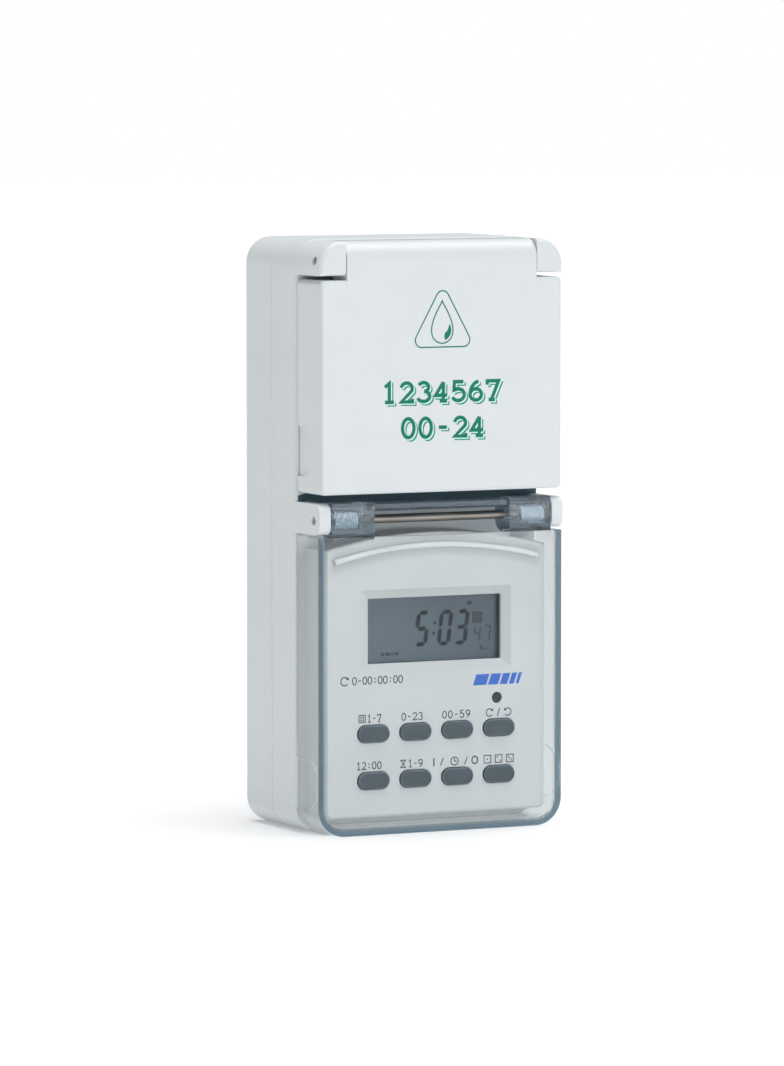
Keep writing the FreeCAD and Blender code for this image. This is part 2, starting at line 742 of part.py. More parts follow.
def earth_clips():
    pieces = []
    for side, label in ((1, "upper"), (-1, "lower")):
        inner, outer = sorted((side * 18.2, side * 19.0))
        strip = block("clip_%s_strip" % label, -3, 3, -33.4, -13.5, inner, outer, False)
        low, high = sorted((side * 12.0, side * 19.0))
        foot = block("clip_%s_foot" % label, -3, 3, -14.3, -13.5, low, high, False)
        nose = rod("clip_%s_bead" % label, "x", -3, -29.5, side * 18.3, 0.7, 6, False)
        pieces.append(fuse("clip_" + label, [strip, foot, nose], False))
    group("socket_earth_clips", pieces)


def earth_bar():
    """Strap from the clip feet to the plug strips, clear of the live parts."""
    rail = block("earth_rail", -3, 3, -13.4, -12.6, -15.4, 15.4, False)
    arms = []
    for side in (1, -1):
        low, high = sorted((side * 14.6, side * 15.4))
        arms.append(block("earth_arm_%d" % side, -3, 3, -13.4, -2.6, low, high, False))
    fuse("earth_bar", [rail] + arms)


def plug_pin(name, x):
    back = 9.0
    neck = rod(name + "_neck", "y", x, back, 0, pin_neck_round, boss_length - back + 1, False)
    shaft = rod(name + "_shaft", "y", x, boss_length, 0, plug_pin_round, plug_pin_length, False)
    tip = soften(name + "_tip", shaft, 1.6, lambda e: e.BoundBox.YMin > 30, False)
    collar = rod(name + "_collar", "y", x, back - 1.2, 0, 3.4, 1.25, False)
    root = rod(name + "_root", "y", x, -5.2, 0, 1.4, 14.0, False)
    fuse(name, [tip, neck, collar, root])


def plug_pin_carrier():
    part = Piece("plug_pin_carrier")
    part.pad(boss_length - 2.1, 9.1, ring(0, 0, boss_inner - 0.1))
    part.cut(8, boss_length, ring(contact_space, 0, pin_neck_round + 0.03),
             ring(-contact_space, 0, pin_neck_round + 0.03), ring(0, -10, 2.7))
    return part


def plug_earth_strips():
    pieces = []
    for side, label in ((1, "upper"), (-1, "lower")):
        low, high = sorted((side * 17.3, side * 18.1))
        strip = block("earth_%s_strip" % label, -3, 3, 0.7, boss_length - 1.9, low, high, False)
        pieces.append(strip)
    group("plug_earth_strips", pieces)


# ---------------------------------------------------------------- control panel
def key_places():
    names = (("key_week", "key_hour", "key_minute", "key_recall"),
             ("key_clock", "key_timer", "key_mode", "key_random"))
    spots = []
    for r, drop in enumerate((key_upper_drop, key_lower_drop)):
        for c in range(4):
            spots.append((names[r][c], key_pitch * (c - 1.5), -drop))
    return spots


RESET = (15.6, -72.1)
RIB_HALF = 0.68
RIB_RISE = 0.8
POSTS = [(sx * 23.4, z) for z in (-93.5, -70.5, -44.8) for sx in (-1, 1)]


def stadium(x, z, wide, high):
    return slab(x - wide / 2, x + wide / 2, z - high / 2, z + high / 2, high * 0.495)


def control_panel():
    part = Piece("control_panel")
    w = panel_half
    part.pad(face, -panel_front, arched(w, -panel_drop, -panel_arch_mid, -panel_arch_end, 1.5))
    part.dress("Fillet", edge_box(y=(-panel_front, -panel_front)), 0.7)
    t = panel_wall
    part.cut(-panel_front + t, face,
             arched(w - t, -panel_drop + t, -panel_arch_mid - t, -panel_arch_end - t, 0.6))
    # clips through the front plate
    for side, z in clip_spots():
        low, high = sorted((side * (w - t + 0.1), side * (w - 0.1)))
        part.pad(face + 3.0, face - 1.5, slab(low, high, z - 3, z + 3))
        low, high = sorted((side * (w - 0.5), side * (w + 0.6)))
        part.pad(face + 2.9, face + 2.1, slab(low, high, z - 2.9, z + 2.9))
    # raised arch
    part.pad(-panel_front + 0.5, -panel_front - RIB_RISE, arch_band(26.0, -36.35, -39.7, RIB_HALF))
    part.dress("Fillet", lambda e: band_edge(e), 0.5)
    # display window with its bevelled bezel
    ww, wh = window_wide / 2, window_high / 2
    part.cut(-panel_front - 1, -panel_front + t + 1, slab(-ww, ww, -window_drop - wh, -window_drop + wh, 0.3))
    bevel(part)
    # key holes and the reset hole
    part.cut(-panel_front - 1, -panel_front + t + 1,
             *[stadium(x, z, key_wide + 2 * key_gap, key_high + 2 * key_gap) for _, x, z in key_places()])
    part.cut(-panel_front - 1, -panel_front + t + 1, ring(RESET[0], RESET[1], 1.3))
    # board posts
    part.pad(-board_front, -panel_front + t, *[ring(x, z, 2.1) for x, z in POSTS])
    part.cut(-panel_front + t + 0.6, -board_front + 1, *[ring(x, z, 0.95) for x, z in POSTS])
    return part


def arch_band(reach, mid, end, band):
    """A constant width band that follows a shallow arc."""

    def make(sk):
        rise = mid - end
        radius = (reach * reach + rise * rise) / (2 * rise)
        centre = Vector(0, mid - radius, 0)
        swing = math.asin(reach / radius)
        first = math.pi / 2 - swing
        last = math.pi / 2 + swing
        up = Vector(0, 0, 1)
        outer = Part.ArcOfCircle(Part.Circle(centre, up, radius + band), first, last)
        inner = Part.ArcOfCircle(Part.Circle(centre, up, radius - band), first, last)
        o = sk.addGeometry(outer, False)
        i = sk.addGeometry(inner, False)
        a = sk.addGeometry(Part.LineSegment(inner.StartPoint, outer.StartPoint), False)
        b = sk.addGeometry(Part.LineSegment(outer.EndPoint, inner.EndPoint), False)
        join = Sketcher.Constraint
        sk.addConstraint(join("Coincident", o, 3, i, 3))
        sk.addConstraint(join("Coincident", a, 1, i, 1))
        sk.addConstraint(join("Coincident", a, 2, o, 1))
        sk.addConstraint(join("Coincident", b, 1, o, 2))
        sk.addConstraint(join("Coincident", b, 2, i, 2))
        dimension(sk, "Radius", (o,), radius + band)
        dimension(sk, "Radius", (i,), radius - band)
        dimension(sk, "DistanceX", (-1, 1, o, 3), 0)
        dimension(sk, "DistanceY", (-1, 1, o, 3), mid - radius)

    return make


def band_edge(edge):
    box = edge.BoundBox
    fore = number(panel_front) + RIB_RISE
    return abs(box.YMin + fore) < 0.01 and abs(box.YMax + fore) < 0.01


def bevel(part):
    """Sloping frame from the panel face down to the window."""
    item = part.body.newObject("PartDesign::SubtractiveWedge", "control_panel_bezel")
    bind(item, "Xmin", -bezel_wide / 2)
    bind(item, "Xmax", bezel_wide / 2)
    bind(item, "Zmin", -window_drop - bezel_high / 2)
    bind(item, "Zmax", -window_drop + bezel_high / 2)
    bind(item, "X2min", -window_wide / 2)
    bind(item, "X2max", window_wide / 2)
    bind(item, "Z2min", -window_drop - window_high / 2)
    bind(item, "Z2max", -window_drop + window_high / 2)
    bind(item, "Ymin", -panel_front)
    bind(item, "Ymax", -panel_front + 0.9)
    part.body.Tip = item


def lcd_stack():
    z0, z1 = -window_drop - 9.0, -window_drop + 9.0
    inside = -panel_front + panel_wall
    window = block("lcd_window_blank", -18.6, 18.6, inside + 0.02, inside + 1.02, z0, z1, False)
    soften("lcd_window", window, 0.6, lambda e: e.BoundBox.YMax - e.BoundBox.YMin > 0.5)
    frame = block("lcd_frame_blank", -20.2, 20.2, inside + 0.05, -board_front - 0.02, z0 - 1.4, z1 + 1.4, False)
    well = block("lcd_frame_well", -18.7, 18.7, inside - 1, -board_front + 1, z0 - 0.1, z1 + 0.1, False)
    minus("lcd_frame", frame, well)
    front_glass = block("lcd_front_glass", -18.5, 18.5, inside + 1.1, inside + 2.1, z0 + 0.1, z1 - 0.1, False)
    rear_glass = block("lcd_rear_glass", -18.5, 18.5, inside + 2.1, inside + 3.1, z0 + 1.6, z1 - 0.1, False)
    fuse("lcd_glass", [front_glass, rear_glass])
    block("lcd_connector", -16.5, 16.5, inside + 2.15, -board_front - 0.02, z0 + 0.15, z0 + 1.5)


def keypad_membrane():
    part = Piece("keypad_membrane")
    z_low, z_high = -94.6, -68.6
    part.pad(-board_front - 0.05, -board_front - 1.9, slab(-21.2, 21.2, z_low, z_high, 1.5))
    holes = [ring(x, z, 1.7) for _, x, z in key_places()]
    part.cut(-board_front - 3, -board_front + 1, *holes)
    part.cut(-board_front - 3, -board_front + 1, ring(RESET[0], RESET[1], 1.4))
    return part


def key(name, x, z):
    part = Piece(name)
    inside = -panel_front + panel_wall
    part.pad(inside + 0.3, -key_front, stadium(x, z, key_wide, key_high))
    part.dress("Fillet", edge_box(y=(-key_front, -key_front)), 0.45)
    part.pad(inside + 1.0, inside + 0.1, stadium(x, z, key_wide + 1.3, key_high + 1.3))
    part.pad(-board_front - 1.2, inside + 0.9, ring(x, z, 1.2))
    return part


def reset_button():
    part = Piece("reset_button")
    inside = -panel_front + panel_wall
    x, z = RESET
    part.pad(inside + 0.3, -panel_front + 0.45, ring(x, z, 1.22))
    part.dress("Fillet", edge_box(y=(-panel_front + 0.45, -panel_front + 0.45)), 0.25)
    part.pad(inside + 0.8, inside + 0.1, ring(x, z, 1.9))
    part.pad(-board_front - 1.0, inside + 0.7, ring(x, z, 0.8))
    return part


def control_board():
    part = Piece("control_board")
    part.pad(-board_front + board_thick, -board_front, slab(-25.4, 25.4, -95.6, -40.6, 0.8))
    part.cut(-board_front - 1, -board_front + 3, *[ring(x, z, 1.15) for x, z in POSTS])
    return part


def control_electronics():
    back = -board_front + board_thick
    screws = []
    for i, (x, z) in enumerate(POSTS):
        head = rod("board_screw_head_%d" % i, "y", x, back + 0.02, z, 1.8, 1.1, False)
        shank = rod("board_screw_shank_%d" % i, "y", x, back - 4.4, z, 0.9, 5.0, False)
        screws.append(fuse("board_screw_%d" % i, [head, shank], False))
    group("control_board_screws", screws)
    chip = block("chip_case", -6, 6, back + 0.3, back + 2.0, -63, -51, False)
    legs = []
    for side in (-1, 1):
        for k in range(9):
            z = -62 + k * 1.25
            low, high = sorted((side * 5.9, side * 7.4))
            legs.append(block("chip_leg_%d_%d" % (side + 1, k), low, high, back + 0.02, back + 0.5, z - 0.25,
                              z + 0.25, False))
    fuse("control_chip", [chip] + legs)
    battery = rod("battery_cell", "y", 13.5, back + 0.6, -84, 7.6, 5.2, False)
    tabs = [block("battery_tab_%d" % i, 13.5 - 1.5, 13.5 + 1.5, back + 0.02, back + 0.7, z, z + 3, False)
            for i, z in enumerate((-93.5, -77.5))]
    fuse("backup_battery", [battery] + tabs)
    can = rod("crystal_can", "x", -17, back + 1.35, -80, 1.3, 7.5, False)
    stub = rod("crystal_stub", "x", -18.2, back + 1.35, -80, 0.9, 1.4, False)
    fuse("quartz_crystal", [can, stub])


# ---------------------------------------------------------------- power electronics
def power_board():
    part = Piece("power_board")
    part.pad(-power_front + power_thick, -power_front, slab(-26.5, 26.5, -91.5, -32.0, 1.0))
    part.cut(-power_front - 1, -power_front + 3, *[ring(x, z, 1.2) for x, z in board_spots()])
    return part


def power_electronics():
    deck = -number(power_front) - 0.02
    screws = []
    for i, (x, z) in enumerate(board_spots()):
        head = rod("power_screw_head_%d" % i, "y", x, deck - 1.2, z, 1.9, 1.2, False)
        shank = rod("power_screw_shank_%d" % i, "y", x, deck - 0.2, z, 0.9, 4.6, False)
        screws.append(fuse("power_screw_%d" % i, [head, shank], False))
    group("power_board_screws", screws)
    case = block("relay_case", -15, 14, deck - 15.7, deck, -72, -59.3, False)
    soften("relay", case, 0.8, lambda e: e.BoundBox.YMax < deck - 0.5)
    film = block("film_case", -16, 2, deck - 12.0, deck, -53, -46, False)
    soften("film_capacitor", film, 1.0, lambda e: e.BoundBox.YMax < deck - 0.5)
    can = rod("electrolytic_can", "y", 13, deck - 13.0, -49, 5.0, 13.0, False)
    soften("electrolytic_capacitor", can, 0.7, lambda e: e.BoundBox.YMax < deck - 5)
    disc = rod("varistor_disc", "z", -18.5, deck - 6.5, -80.5, 5.0, 3.6, False)
    legs = [rod("varistor_leg_%d" % i, "y", x, deck - 4, -78.7, 0.4, 4.0, False) for i, x in enumerate((-21, -16))]
    fuse("varistor", [disc] + legs)
    tube = rod("fuse_tube", "x", -8, deck - 3.4, -82, 2.6, 14, False)
    caps = [rod("fuse_cap_%d" % i, "x", x, deck - 3.4, -82, 2.9, 3.6, False) for i, x in enumerate((-10, 4.4))]
    feet = [block("fuse_foot_%d" % i, x, x + 2.4, deck - 3.4, deck, -84, -80, False)
            for i, x in enumerate((-9.4, 5.0))]
    fuse("fuse", [tube] + caps + feet)
    diodes = []
    for i in range(4):
        x = 9.5 + i * 3.2
        bead = rod("diode_bead_%d" % i, "z", x, deck - 1.6, -82, 1.3, 5, False)
        lead = rod("diode_lead_%d" % i, "z", x, deck - 1.6, -86, 0.35, 13, False)
        ends = [rod("diode_end_%d_%d" % (i, j), "y", x, deck - 1.6, z, 0.3, 1.6, False)
                for j, z in enumerate((-85.5, -73.5))]
        diodes.append(fuse("diode_%d" % i, [bead, lead] + ends, False))
    group("rectifier_diodes", diodes)


def wire(name, points, radius):
    """An insulated wire along a smooth curve."""
    curve = Part.BSplineCurve()
    curve.interpolate([Vector(*p) for p in points])
    path = Part.Wire([curve.toShape()])
    start = curve.value(curve.FirstParameter)
    way = curve.tangent(curve.FirstParameter)[0]
    section = Part.Wire([Part.Circle(start, way, radius).toShape()])
    item = doc.addObject("Part::Feature", name)
    item.Label = name
    item.Shape = path.makePipeShell([section], True, True)
    nodes.append(item)


def wires():
    wire("wire_line_in", [(-9.5, -3.2, -3.6), (-14, -4.5, -12), (-19, -9.0, -22), (-18, -9.5, -33),
                          (-17, -7.6, -36.5)], 1.1)
    wire("wire_line_switched", [(-9.5, -9.0, -5.4), (-7, -9.5, -12), (-7, -10.0, -22), (-9, -10, -32),
                                (-9, -7.4, -36.5)], 1.1)
    wire("wire_neutral", [(9.5, -3.2, -3.6), (13, -5.0, -12), (15, -9.0, -22), (12, -9.5, -33),
                          (11, -7.6, -36.5)], 1.1)
    wire("board_link_cable", [(0, -27.9, -76.6), (0, -25.5, -76.9), (0, -20.0, -77.2), (0, -11.0, -77.0),
                               (0, -7.4, -77.0)], 1.3)


# ---------------------------------------------------------------- build
rear_housing()
front_housing()
shell_gasket()
housing_screws()
socket_cover()
socket_cover_gasket()
hinge_pin("socket_hinge_pin", upper_axis)
timer_cover()
hinge_pin("timer_hinge_pin", lower_axis)
group("socket_cover_spring", [coil("socket_coil", -3.9, upper_axis, 11, 0.7)])
group("timer_cover_springs", [coil("timer_coil_left", -pocket_outer + 0.4, lower_axis, 9, 0.65),
                              coil("timer_coil_right", pocket_inner + 0.5, lower_axis, 9, 0.65)])
socket_insert()
contact("socket_contact_line", -contact_space, -5.0)
contact("socket_contact_neutral", contact_space, -5.0)
earth_clips()
earth_bar()
plug_pin("plug_pin_line", -contact_space)
plug_pin("plug_pin_neutral", contact_space)
plug_pin_carrier()
plug_earth_strips()
control_panel()
lcd_stack()
keypad_membrane()
for name, x, z in key_places():
    key(name, x, z)
reset_button()
control_board()
control_electronics()
power_board()
power_electronics()
wires()

doc.recompute()
for item in doc.Objects:
    for state in ("Invalid", "Error"):
        if state in item.State:
            raise ValueError("%s is %s" % (item.Label, state))
os.makedirs("parts", exist_ok=True)
for item in nodes:
    if item.Shape.isNull() or not item.Shape.isValid():
        raise ValueError("bad shape: " + item.Label)
    item.Shape.exportStep("parts/%s.step" % item.Label)
    box = item.Shape.BoundBox
    print("%-24s x %7.2f %7.2f  y %7.2f %7.2f  z %8.2f %7.2f  vol %9.2f solids %d" % (
        item.Label, box.XMin, box.XMax, box.YMin, box.YMax, box.ZMin, box.ZMax,
        item.Shape.Volume, len(item.Shape.Solids)))
print(len(nodes), "nodes")
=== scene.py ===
import bmesh
import bpy
import math
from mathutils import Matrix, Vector


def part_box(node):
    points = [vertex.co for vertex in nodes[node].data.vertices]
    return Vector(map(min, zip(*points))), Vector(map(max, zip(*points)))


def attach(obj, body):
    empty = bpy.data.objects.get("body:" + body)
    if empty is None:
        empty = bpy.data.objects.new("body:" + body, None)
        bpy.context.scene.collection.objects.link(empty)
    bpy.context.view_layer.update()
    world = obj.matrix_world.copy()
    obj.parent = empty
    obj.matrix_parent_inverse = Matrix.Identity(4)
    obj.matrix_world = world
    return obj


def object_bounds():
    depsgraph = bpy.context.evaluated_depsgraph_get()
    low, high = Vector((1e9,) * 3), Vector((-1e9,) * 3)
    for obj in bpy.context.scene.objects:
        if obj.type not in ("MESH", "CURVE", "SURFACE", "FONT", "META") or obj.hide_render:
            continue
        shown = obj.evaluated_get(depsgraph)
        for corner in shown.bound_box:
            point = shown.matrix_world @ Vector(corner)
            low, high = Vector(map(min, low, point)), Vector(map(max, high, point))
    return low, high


# Weatherproof plug-in digital timer socket. Metres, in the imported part's frame:
# +Y out of the back towards the wall, -Y towards the covers, +Z up.

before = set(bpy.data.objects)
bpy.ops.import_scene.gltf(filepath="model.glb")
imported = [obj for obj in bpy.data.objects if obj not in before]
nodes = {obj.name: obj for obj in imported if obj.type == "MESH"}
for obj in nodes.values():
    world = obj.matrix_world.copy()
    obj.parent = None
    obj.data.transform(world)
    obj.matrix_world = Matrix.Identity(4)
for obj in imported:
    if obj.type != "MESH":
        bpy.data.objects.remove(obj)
cad_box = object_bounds()
MM = 0.001
scene = bpy.context.scene

# The panel's raised arch, mm: half its span, and the height of its middle and its ends
ARCH_REACH = 26.0
ARCH_MID = -36.35
ARCH_END = -39.7

# Moulded plastic: scales of its cloudiness, its uneven gloss and its spark texture
CLOUD_SCALE = 45.0
GLOSS_SCALE = 160.0
SPARK_SCALE = 2600.0
SPARK_STRENGTH = 0.35
SPARK_DEPTH = 0.000012

WHITE = (1.0, 1.0, 1.0, 1.0)


# ---------------------------------------------------------------- node helpers
def srgb(r, g, b):
    """Linear colour of an 8 bit sRGB triple."""

    def one(c):
        c = c / 255.0
        return c / 12.92 if c <= 0.04045 else ((c + 0.055) / 1.055) ** 2.4

    return (one(r), one(g), one(b), 1.0)


def shade(colour, factor):
    return (colour[0] * factor, colour[1] * factor, colour[2] * factor, 1.0)


class Look:
    """A node material in the making: a Principled shader fed by a few textures."""

    def __init__(self, name):
        self.material = bpy.data.materials.new(name)
        self.material.use_nodes = True
        self.tree = self.material.node_tree
        self.shader = self.tree.nodes["Principled BSDF"]
        self.output = self.tree.nodes["Material Output"]
        coordinates = self.tree.nodes.new("ShaderNodeTexCoord")
        self.place = coordinates.outputs["Object"]
        self.normal = coordinates.outputs["Normal"]

    def link(self, a, b):
        self.tree.links.new(a, b)

    def set(self, **values):
        """Constants on the shader's own sockets."""
        for key, value in values.items():
            self.shader.inputs[key.replace("_", " ")].default_value = value

    def feed(self, key, source):
        self.link(source, self.shader.inputs[key])

    def put(self, value, socket):
        """A socket is linked, and a number or a colour is set."""
        if isinstance(value, bpy.types.NodeSocket):
            self.link(value, socket)
        else:
            socket.default_value = value

    def axes(self, source):
        made = self.tree.nodes.new("ShaderNodeSeparateXYZ")
        self.link(source, made.inputs[0])
        return made.outputs["X"], made.outputs["Y"], made.outputs["Z"]

    def stretched(self, sx, sy, sz):
        """Object coordinates scaled by axis, for streaks."""
        mapping = self.tree.nodes.new("ShaderNodeMapping")
        mapping.inputs["Scale"].default_value = (sx, sy, sz)
        self.link(self.place, mapping.inputs["Vector"])
        return mapping.outputs["Vector"]

    def noise(self, scale, detail=2.0, where=None):
        made = self.tree.nodes.new("ShaderNodeTexNoise")
        made.inputs["Scale"].default_value = scale
        made.inputs["Detail"].default_value = detail
        self.link(where or self.place, made.inputs["Vector"])
        return made.outputs["Fac"]

    def spread(self, source, low, high, from_low=0.3, from_high=0.7):
        made = self.tree.nodes.new("ShaderNodeMapRange")
        made.inputs["From Min"].default_value = from_low
        made.inputs["From Max"].default_value = from_high
        made.inputs["To Min"].default_value = low
        made.inputs["To Max"].default_value = high
        self.link(source, made.inputs["Value"])
        return made.outputs["Result"]

    def maths(self, operation, *values):
        made = self.tree.nodes.new("ShaderNodeMath")
        made.operation = operation
        for i, value in enumerate(values):
            self.put(value, made.inputs[i])
        return made.outputs[0]

    def blend(self, source, a, b):
        """Colour a where the source is 0 and colour b where it is 1."""
        made = self.tree.nodes.new("ShaderNodeMix")
        made.data_type = "RGBA"
        self.link(source, made.inputs["Factor"])
        self.put(a, made.inputs[6])
        self.put(b, made.inputs[7])
        return made.outputs[2]

    def bump(self, source, strength, distance):
        made = self.tree.nodes.new("ShaderNodeBump")
        made.inputs["Strength"].default_value = strength
        made.inputs["Distance"].default_value = distance
        self.link(source, made.inputs["Height"])
        self.feed("Normal", made.outputs["Normal"])

    def pass_lamps(self, tint):
        """Lets lamps reach what lies behind a clear piece."""
        path = self.tree.nodes.new("ShaderNodeLightPath")
        passing = self.tree.nodes.new("ShaderNodeBsdfTransparent")
        passing.inputs["Color"].default_value = tint
        mix = self.tree.nodes.new("ShaderNodeMixShader")
        self.link(path.outputs["Is Shadow Ray"], mix.inputs[0])
        self.link(self.shader.outputs[0], mix.inputs[1])
        self.link(passing.outputs[0], mix.inputs[2])
        self.link(mix.outputs[0], self.output.inputs["Surface"])

    def absorb(self, colour, density):
        inside = self.tree.nodes.new("ShaderNodeVolumeAbsorption")
        inside.inputs["Color"].default_value = colour
        inside.inputs["Density"].default_value = density
        self.link(inside.outputs[0], self.output.inputs["Volume"])


# ---------------------------------------------------------------- materials
def plastic(name, colour, roughness, grain=SPARK_SCALE, depth=SPARK_DEPTH, variation=0.03):
    """Moulded plastic: fine spark texture, faint cloudiness and uneven gloss."""
    look = Look(name)
    cloud = look.spread(look.noise(CLOUD_SCALE, 3.0), 0.0, 1.0)
    dull = shade(colour, 1 - variation)
    bright = shade(colour, 1 + variation / 3)
    look.feed("Base Color", look.blend(cloud, dull, bright))
    look.feed("Roughness", look.spread(look.noise(GLOSS_SCALE), roughness - 0.04, roughness + 0.05))
    look.bump(look.noise(grain), SPARK_STRENGTH, depth)
    look.set(IOR=1.49)
    return look.material


def key_plastic():
    """Soft grey key with a painted highlight on its rounded edge and painted shade on its sides."""
    look = Look("key_plastic")
    facing = look.axes(look.normal)[1]
    rounded = look.spread(facing, 0.0, 1.0, -0.995, -0.85)
    side = look.spread(facing, 0.0, 1.0, -0.5, -0.2)
    cloud = look.noise(500.0, 3.0)
    flat = look.blend(look.spread(cloud, 0.0, 1.0), srgb(46, 65, 75), srgb(54, 73, 83))
    # painted highlight: the rounded edge is paler
    rim_highlighted = look.blend(rounded, flat, srgb(108, 124, 134))
    # painted shade: the sides are dark
    look.feed("Base Color", look.blend(side, rim_highlighted, srgb(26, 34, 40)))
    look.feed("Roughness", look.spread(cloud, 0.38, 0.48))
    look.bump(look.noise(3000.0), SPARK_STRENGTH, 0.000014)
    return look.material


def panel_plastic():
    """The panel's moulding: a painted highlight on top of its raised arch, and painted shade along the
    arch's foot.
    """
    look = Look("panel_plastic")
    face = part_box("control_panel")[0].y
    x, y, z = look.axes(look.place)
    cloud = look.spread(look.noise(CLOUD_SCALE, 3.0), 0.0, 1.0)
    plain = look.blend(cloud, srgb(213, 216, 217), srgb(218, 221, 222))
    # distance from the middle line of the arch, which is part of a circle
    rise = ARCH_MID - ARCH_END
    radius = (ARCH_REACH ** 2 + rise ** 2) / (2 * rise)
    down = look.maths("SUBTRACT", z, (ARCH_MID - radius) * MM)
    squares = look.maths("ADD", look.maths("MULTIPLY", down, down), look.maths("MULTIPLY", x, x))
    off_line = look.maths("SUBTRACT", look.maths("SQRT", squares), radius * MM)
    near = look.spread(look.maths("ABSOLUTE", off_line), 1.0, 0.0, 0.7 * MM, 3.0 * MM)
    # the painted shade ends with the arch
    end, fade = (ARCH_REACH - 0.5) * MM, (ARCH_REACH + 1.5) * MM
    within = look.spread(look.maths("ABSOLUTE", x), 1.0, 0.0, end, fade)
    # painted shade: darker along the foot of the arch
    dust_and_shade = look.maths("MULTIPLY", look.maths("MULTIPLY", near, within), 0.45)
    foot_shaded = look.blend(dust_and_shade, plain, srgb(150, 160, 162))
    # painted highlight: the raised arch is paler than the panel around it
    raised = look.spread(y, 1.0, 0.0, face + 0.25 * MM, face + 0.7 * MM)
    look.feed("Base Color", look.blend(raised, foot_shaded, srgb(232, 237, 237)))
    look.feed("Roughness", look.spread(look.noise(GLOSS_SCALE), 0.41, 0.5))
    look.bump(look.noise(SPARK_SCALE), SPARK_STRENGTH, SPARK_DEPTH)
    look.set(IOR=1.49)
    return look.material


def metal(name, colour, roughness, streak=(120.0, 2500.0, 2500.0), wear=0.12, shine=1.0):
    """Plated or drawn metal with fine streaks along its length."""
    look = Look(name)
    lines = look.noise(1.0, 3.0, look.stretched(*streak))
    look.feed("Base Color", look.blend(look.spread(lines, 0.0, 1.0), shade(colour, 1 - wear), colour))
    look.feed("Roughness", look.spread(lines, roughness - 0.06, roughness + 0.1))
    look.bump(lines, 0.2, 0.000006)
    look.set(Metallic=shine)
    return look.material


def rubber(name, colour, roughness=0.75):
    """Matt rubber, paler where dust lies on it."""
    look = Look(name)
    dust_and_shade = look.noise(220.0, 4.0)
    look.feed("Base Color", look.blend(look.spread(dust_and_shade, 0.0, 1.0), colour, shade(colour, 1.25)))
    look.feed("Roughness", look.spread(dust_and_shade, roughness - 0.08, roughness + 0.06))
    look.bump(look.noise(1800.0), 0.4, 0.00002)
    return look.material


def clear(name, colour, roughness, tint, density):
    """Clear glass or plastic with a few scuffs."""
    look = Look(name)
    look.set(Base_Color=colour, Transmission_Weight=1.0, IOR=1.2)
    scuffs = look.noise(350.0, 3.0)
    look.feed("Roughness", look.spread(scuffs, roughness, roughness + 0.015))
    look.pass_lamps((0.93, 0.95, 0.96, 1.0))
    look.absorb(tint, density)
    return look.material


def cover_clear():
    """Clear cover: slate blue on its rim and hinge web, watery in its knuckles, nearly plain elsewhere.

    Every mask goes by the place on the cover, 0 for none and 1 for all.
    """
    look = Look("clear_cover")
    low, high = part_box("timer_cover")
    corner, wall = 6.5 * MM, 1.45 * MM
    x, y, z = look.axes(look.place)
    wide = look.maths("ABSOLUTE", x)
    # edge: the side and bottom walls and their round corners, wider by half a millimetre on the right, where
    # the wider tint is painted shade
    across = look.maths("MULTIPLY_ADD", x, 0.016, wide)
    side = look.maths("MAXIMUM", look.maths("SUBTRACT", across, high.x - corner), 0.0)
    down = look.maths("MAXIMUM", look.maths("SUBTRACT", low.z + corner, z), 0.0)
    squares = look.maths("ADD", look.maths("MULTIPLY", side, side), look.maths("MULTIPLY", down, down))
    inner = corner - wall
    edge = look.spread(look.maths("SQRT", squares), 0.0, 1.0, inner - 0.15 * MM, inner + 0.1 * MM)
    # rim: the walls' front ends. hinge: the web and both knuckles. bar: the web alone.
    rim = look.maths("MULTIPLY", edge, look.spread(y, 1.0, 0.0, low.y + 0.7 * MM, low.y + 1.2 * MM))
    hinge = look.spread(z, 0.0, 1.0, -34.2 * MM, -33.4 * MM)
    bar = look.maths("MULTIPLY", hinge, look.spread(wide, 1.0, 0.0, 17.1 * MM, 17.3 * MM))
    knuckle = look.maths("SUBTRACT", hinge, bar)
    # how milky it is
    solid = look.maths("MAXIMUM", look.maths("MULTIPLY", bar, 0.55), look.maths("MULTIPLY", hinge, 0.1))
    milky = look.maths("MAXIMUM", look.maths("MAXIMUM", rim, solid), look.maths("MULTIPLY", edge, 0.3))
    look.feed("Transmission Weight", look.spread(milky, 1.0, 0.3, 0.0, 1.0))
    # how blue it is
    slate = look.maths("MAXIMUM", look.maths("MULTIPLY", bar, 0.95), look.maths("MULTIPLY", hinge, 0.04))
    blue = look.maths("MAXIMUM", look.maths("MAXIMUM", rim, slate), look.maths("MULTIPLY", edge, 0.06))
    plain = look.blend(blue, (0.965, 0.972, 0.97, 1.0), srgb(122, 144, 158))
    watery = look.blend(look.maths("MULTIPLY", knuckle, 0.36), plain, srgb(122, 170, 202))
    look.feed("Base Color", look.blend(look.maths("MULTIPLY", bar, 0.55), watery, srgb(46, 74, 100)))
    look.feed("Roughness", look.spread(look.noise(350.0, 3.0), 0.006, 0.02))
    look.bump(look.noise(60.0, 1.0), 0.1, 0.00003)
    look.set(IOR=1.2)
    look.pass_lamps((0.95, 0.957, 0.957, 1.0))
    look.absorb(srgb(150, 178, 192), 45.0)
    return look.material


def print_ink(name, colour, roughness=0.45):
    """Pad printed ink with slightly uneven cover."""
    look = Look(name)
    cover = look.noise(900.0)
    look.feed("Base Color", look.blend(look.spread(cover, 0.0, 1.0), colour, shade(colour, 1.12)))
    look.feed("Roughness", look.spread(cover, roughness - 0.05, roughness + 0.08))
    look.set(Specular_IOR_Level=0.2)
    return look.material


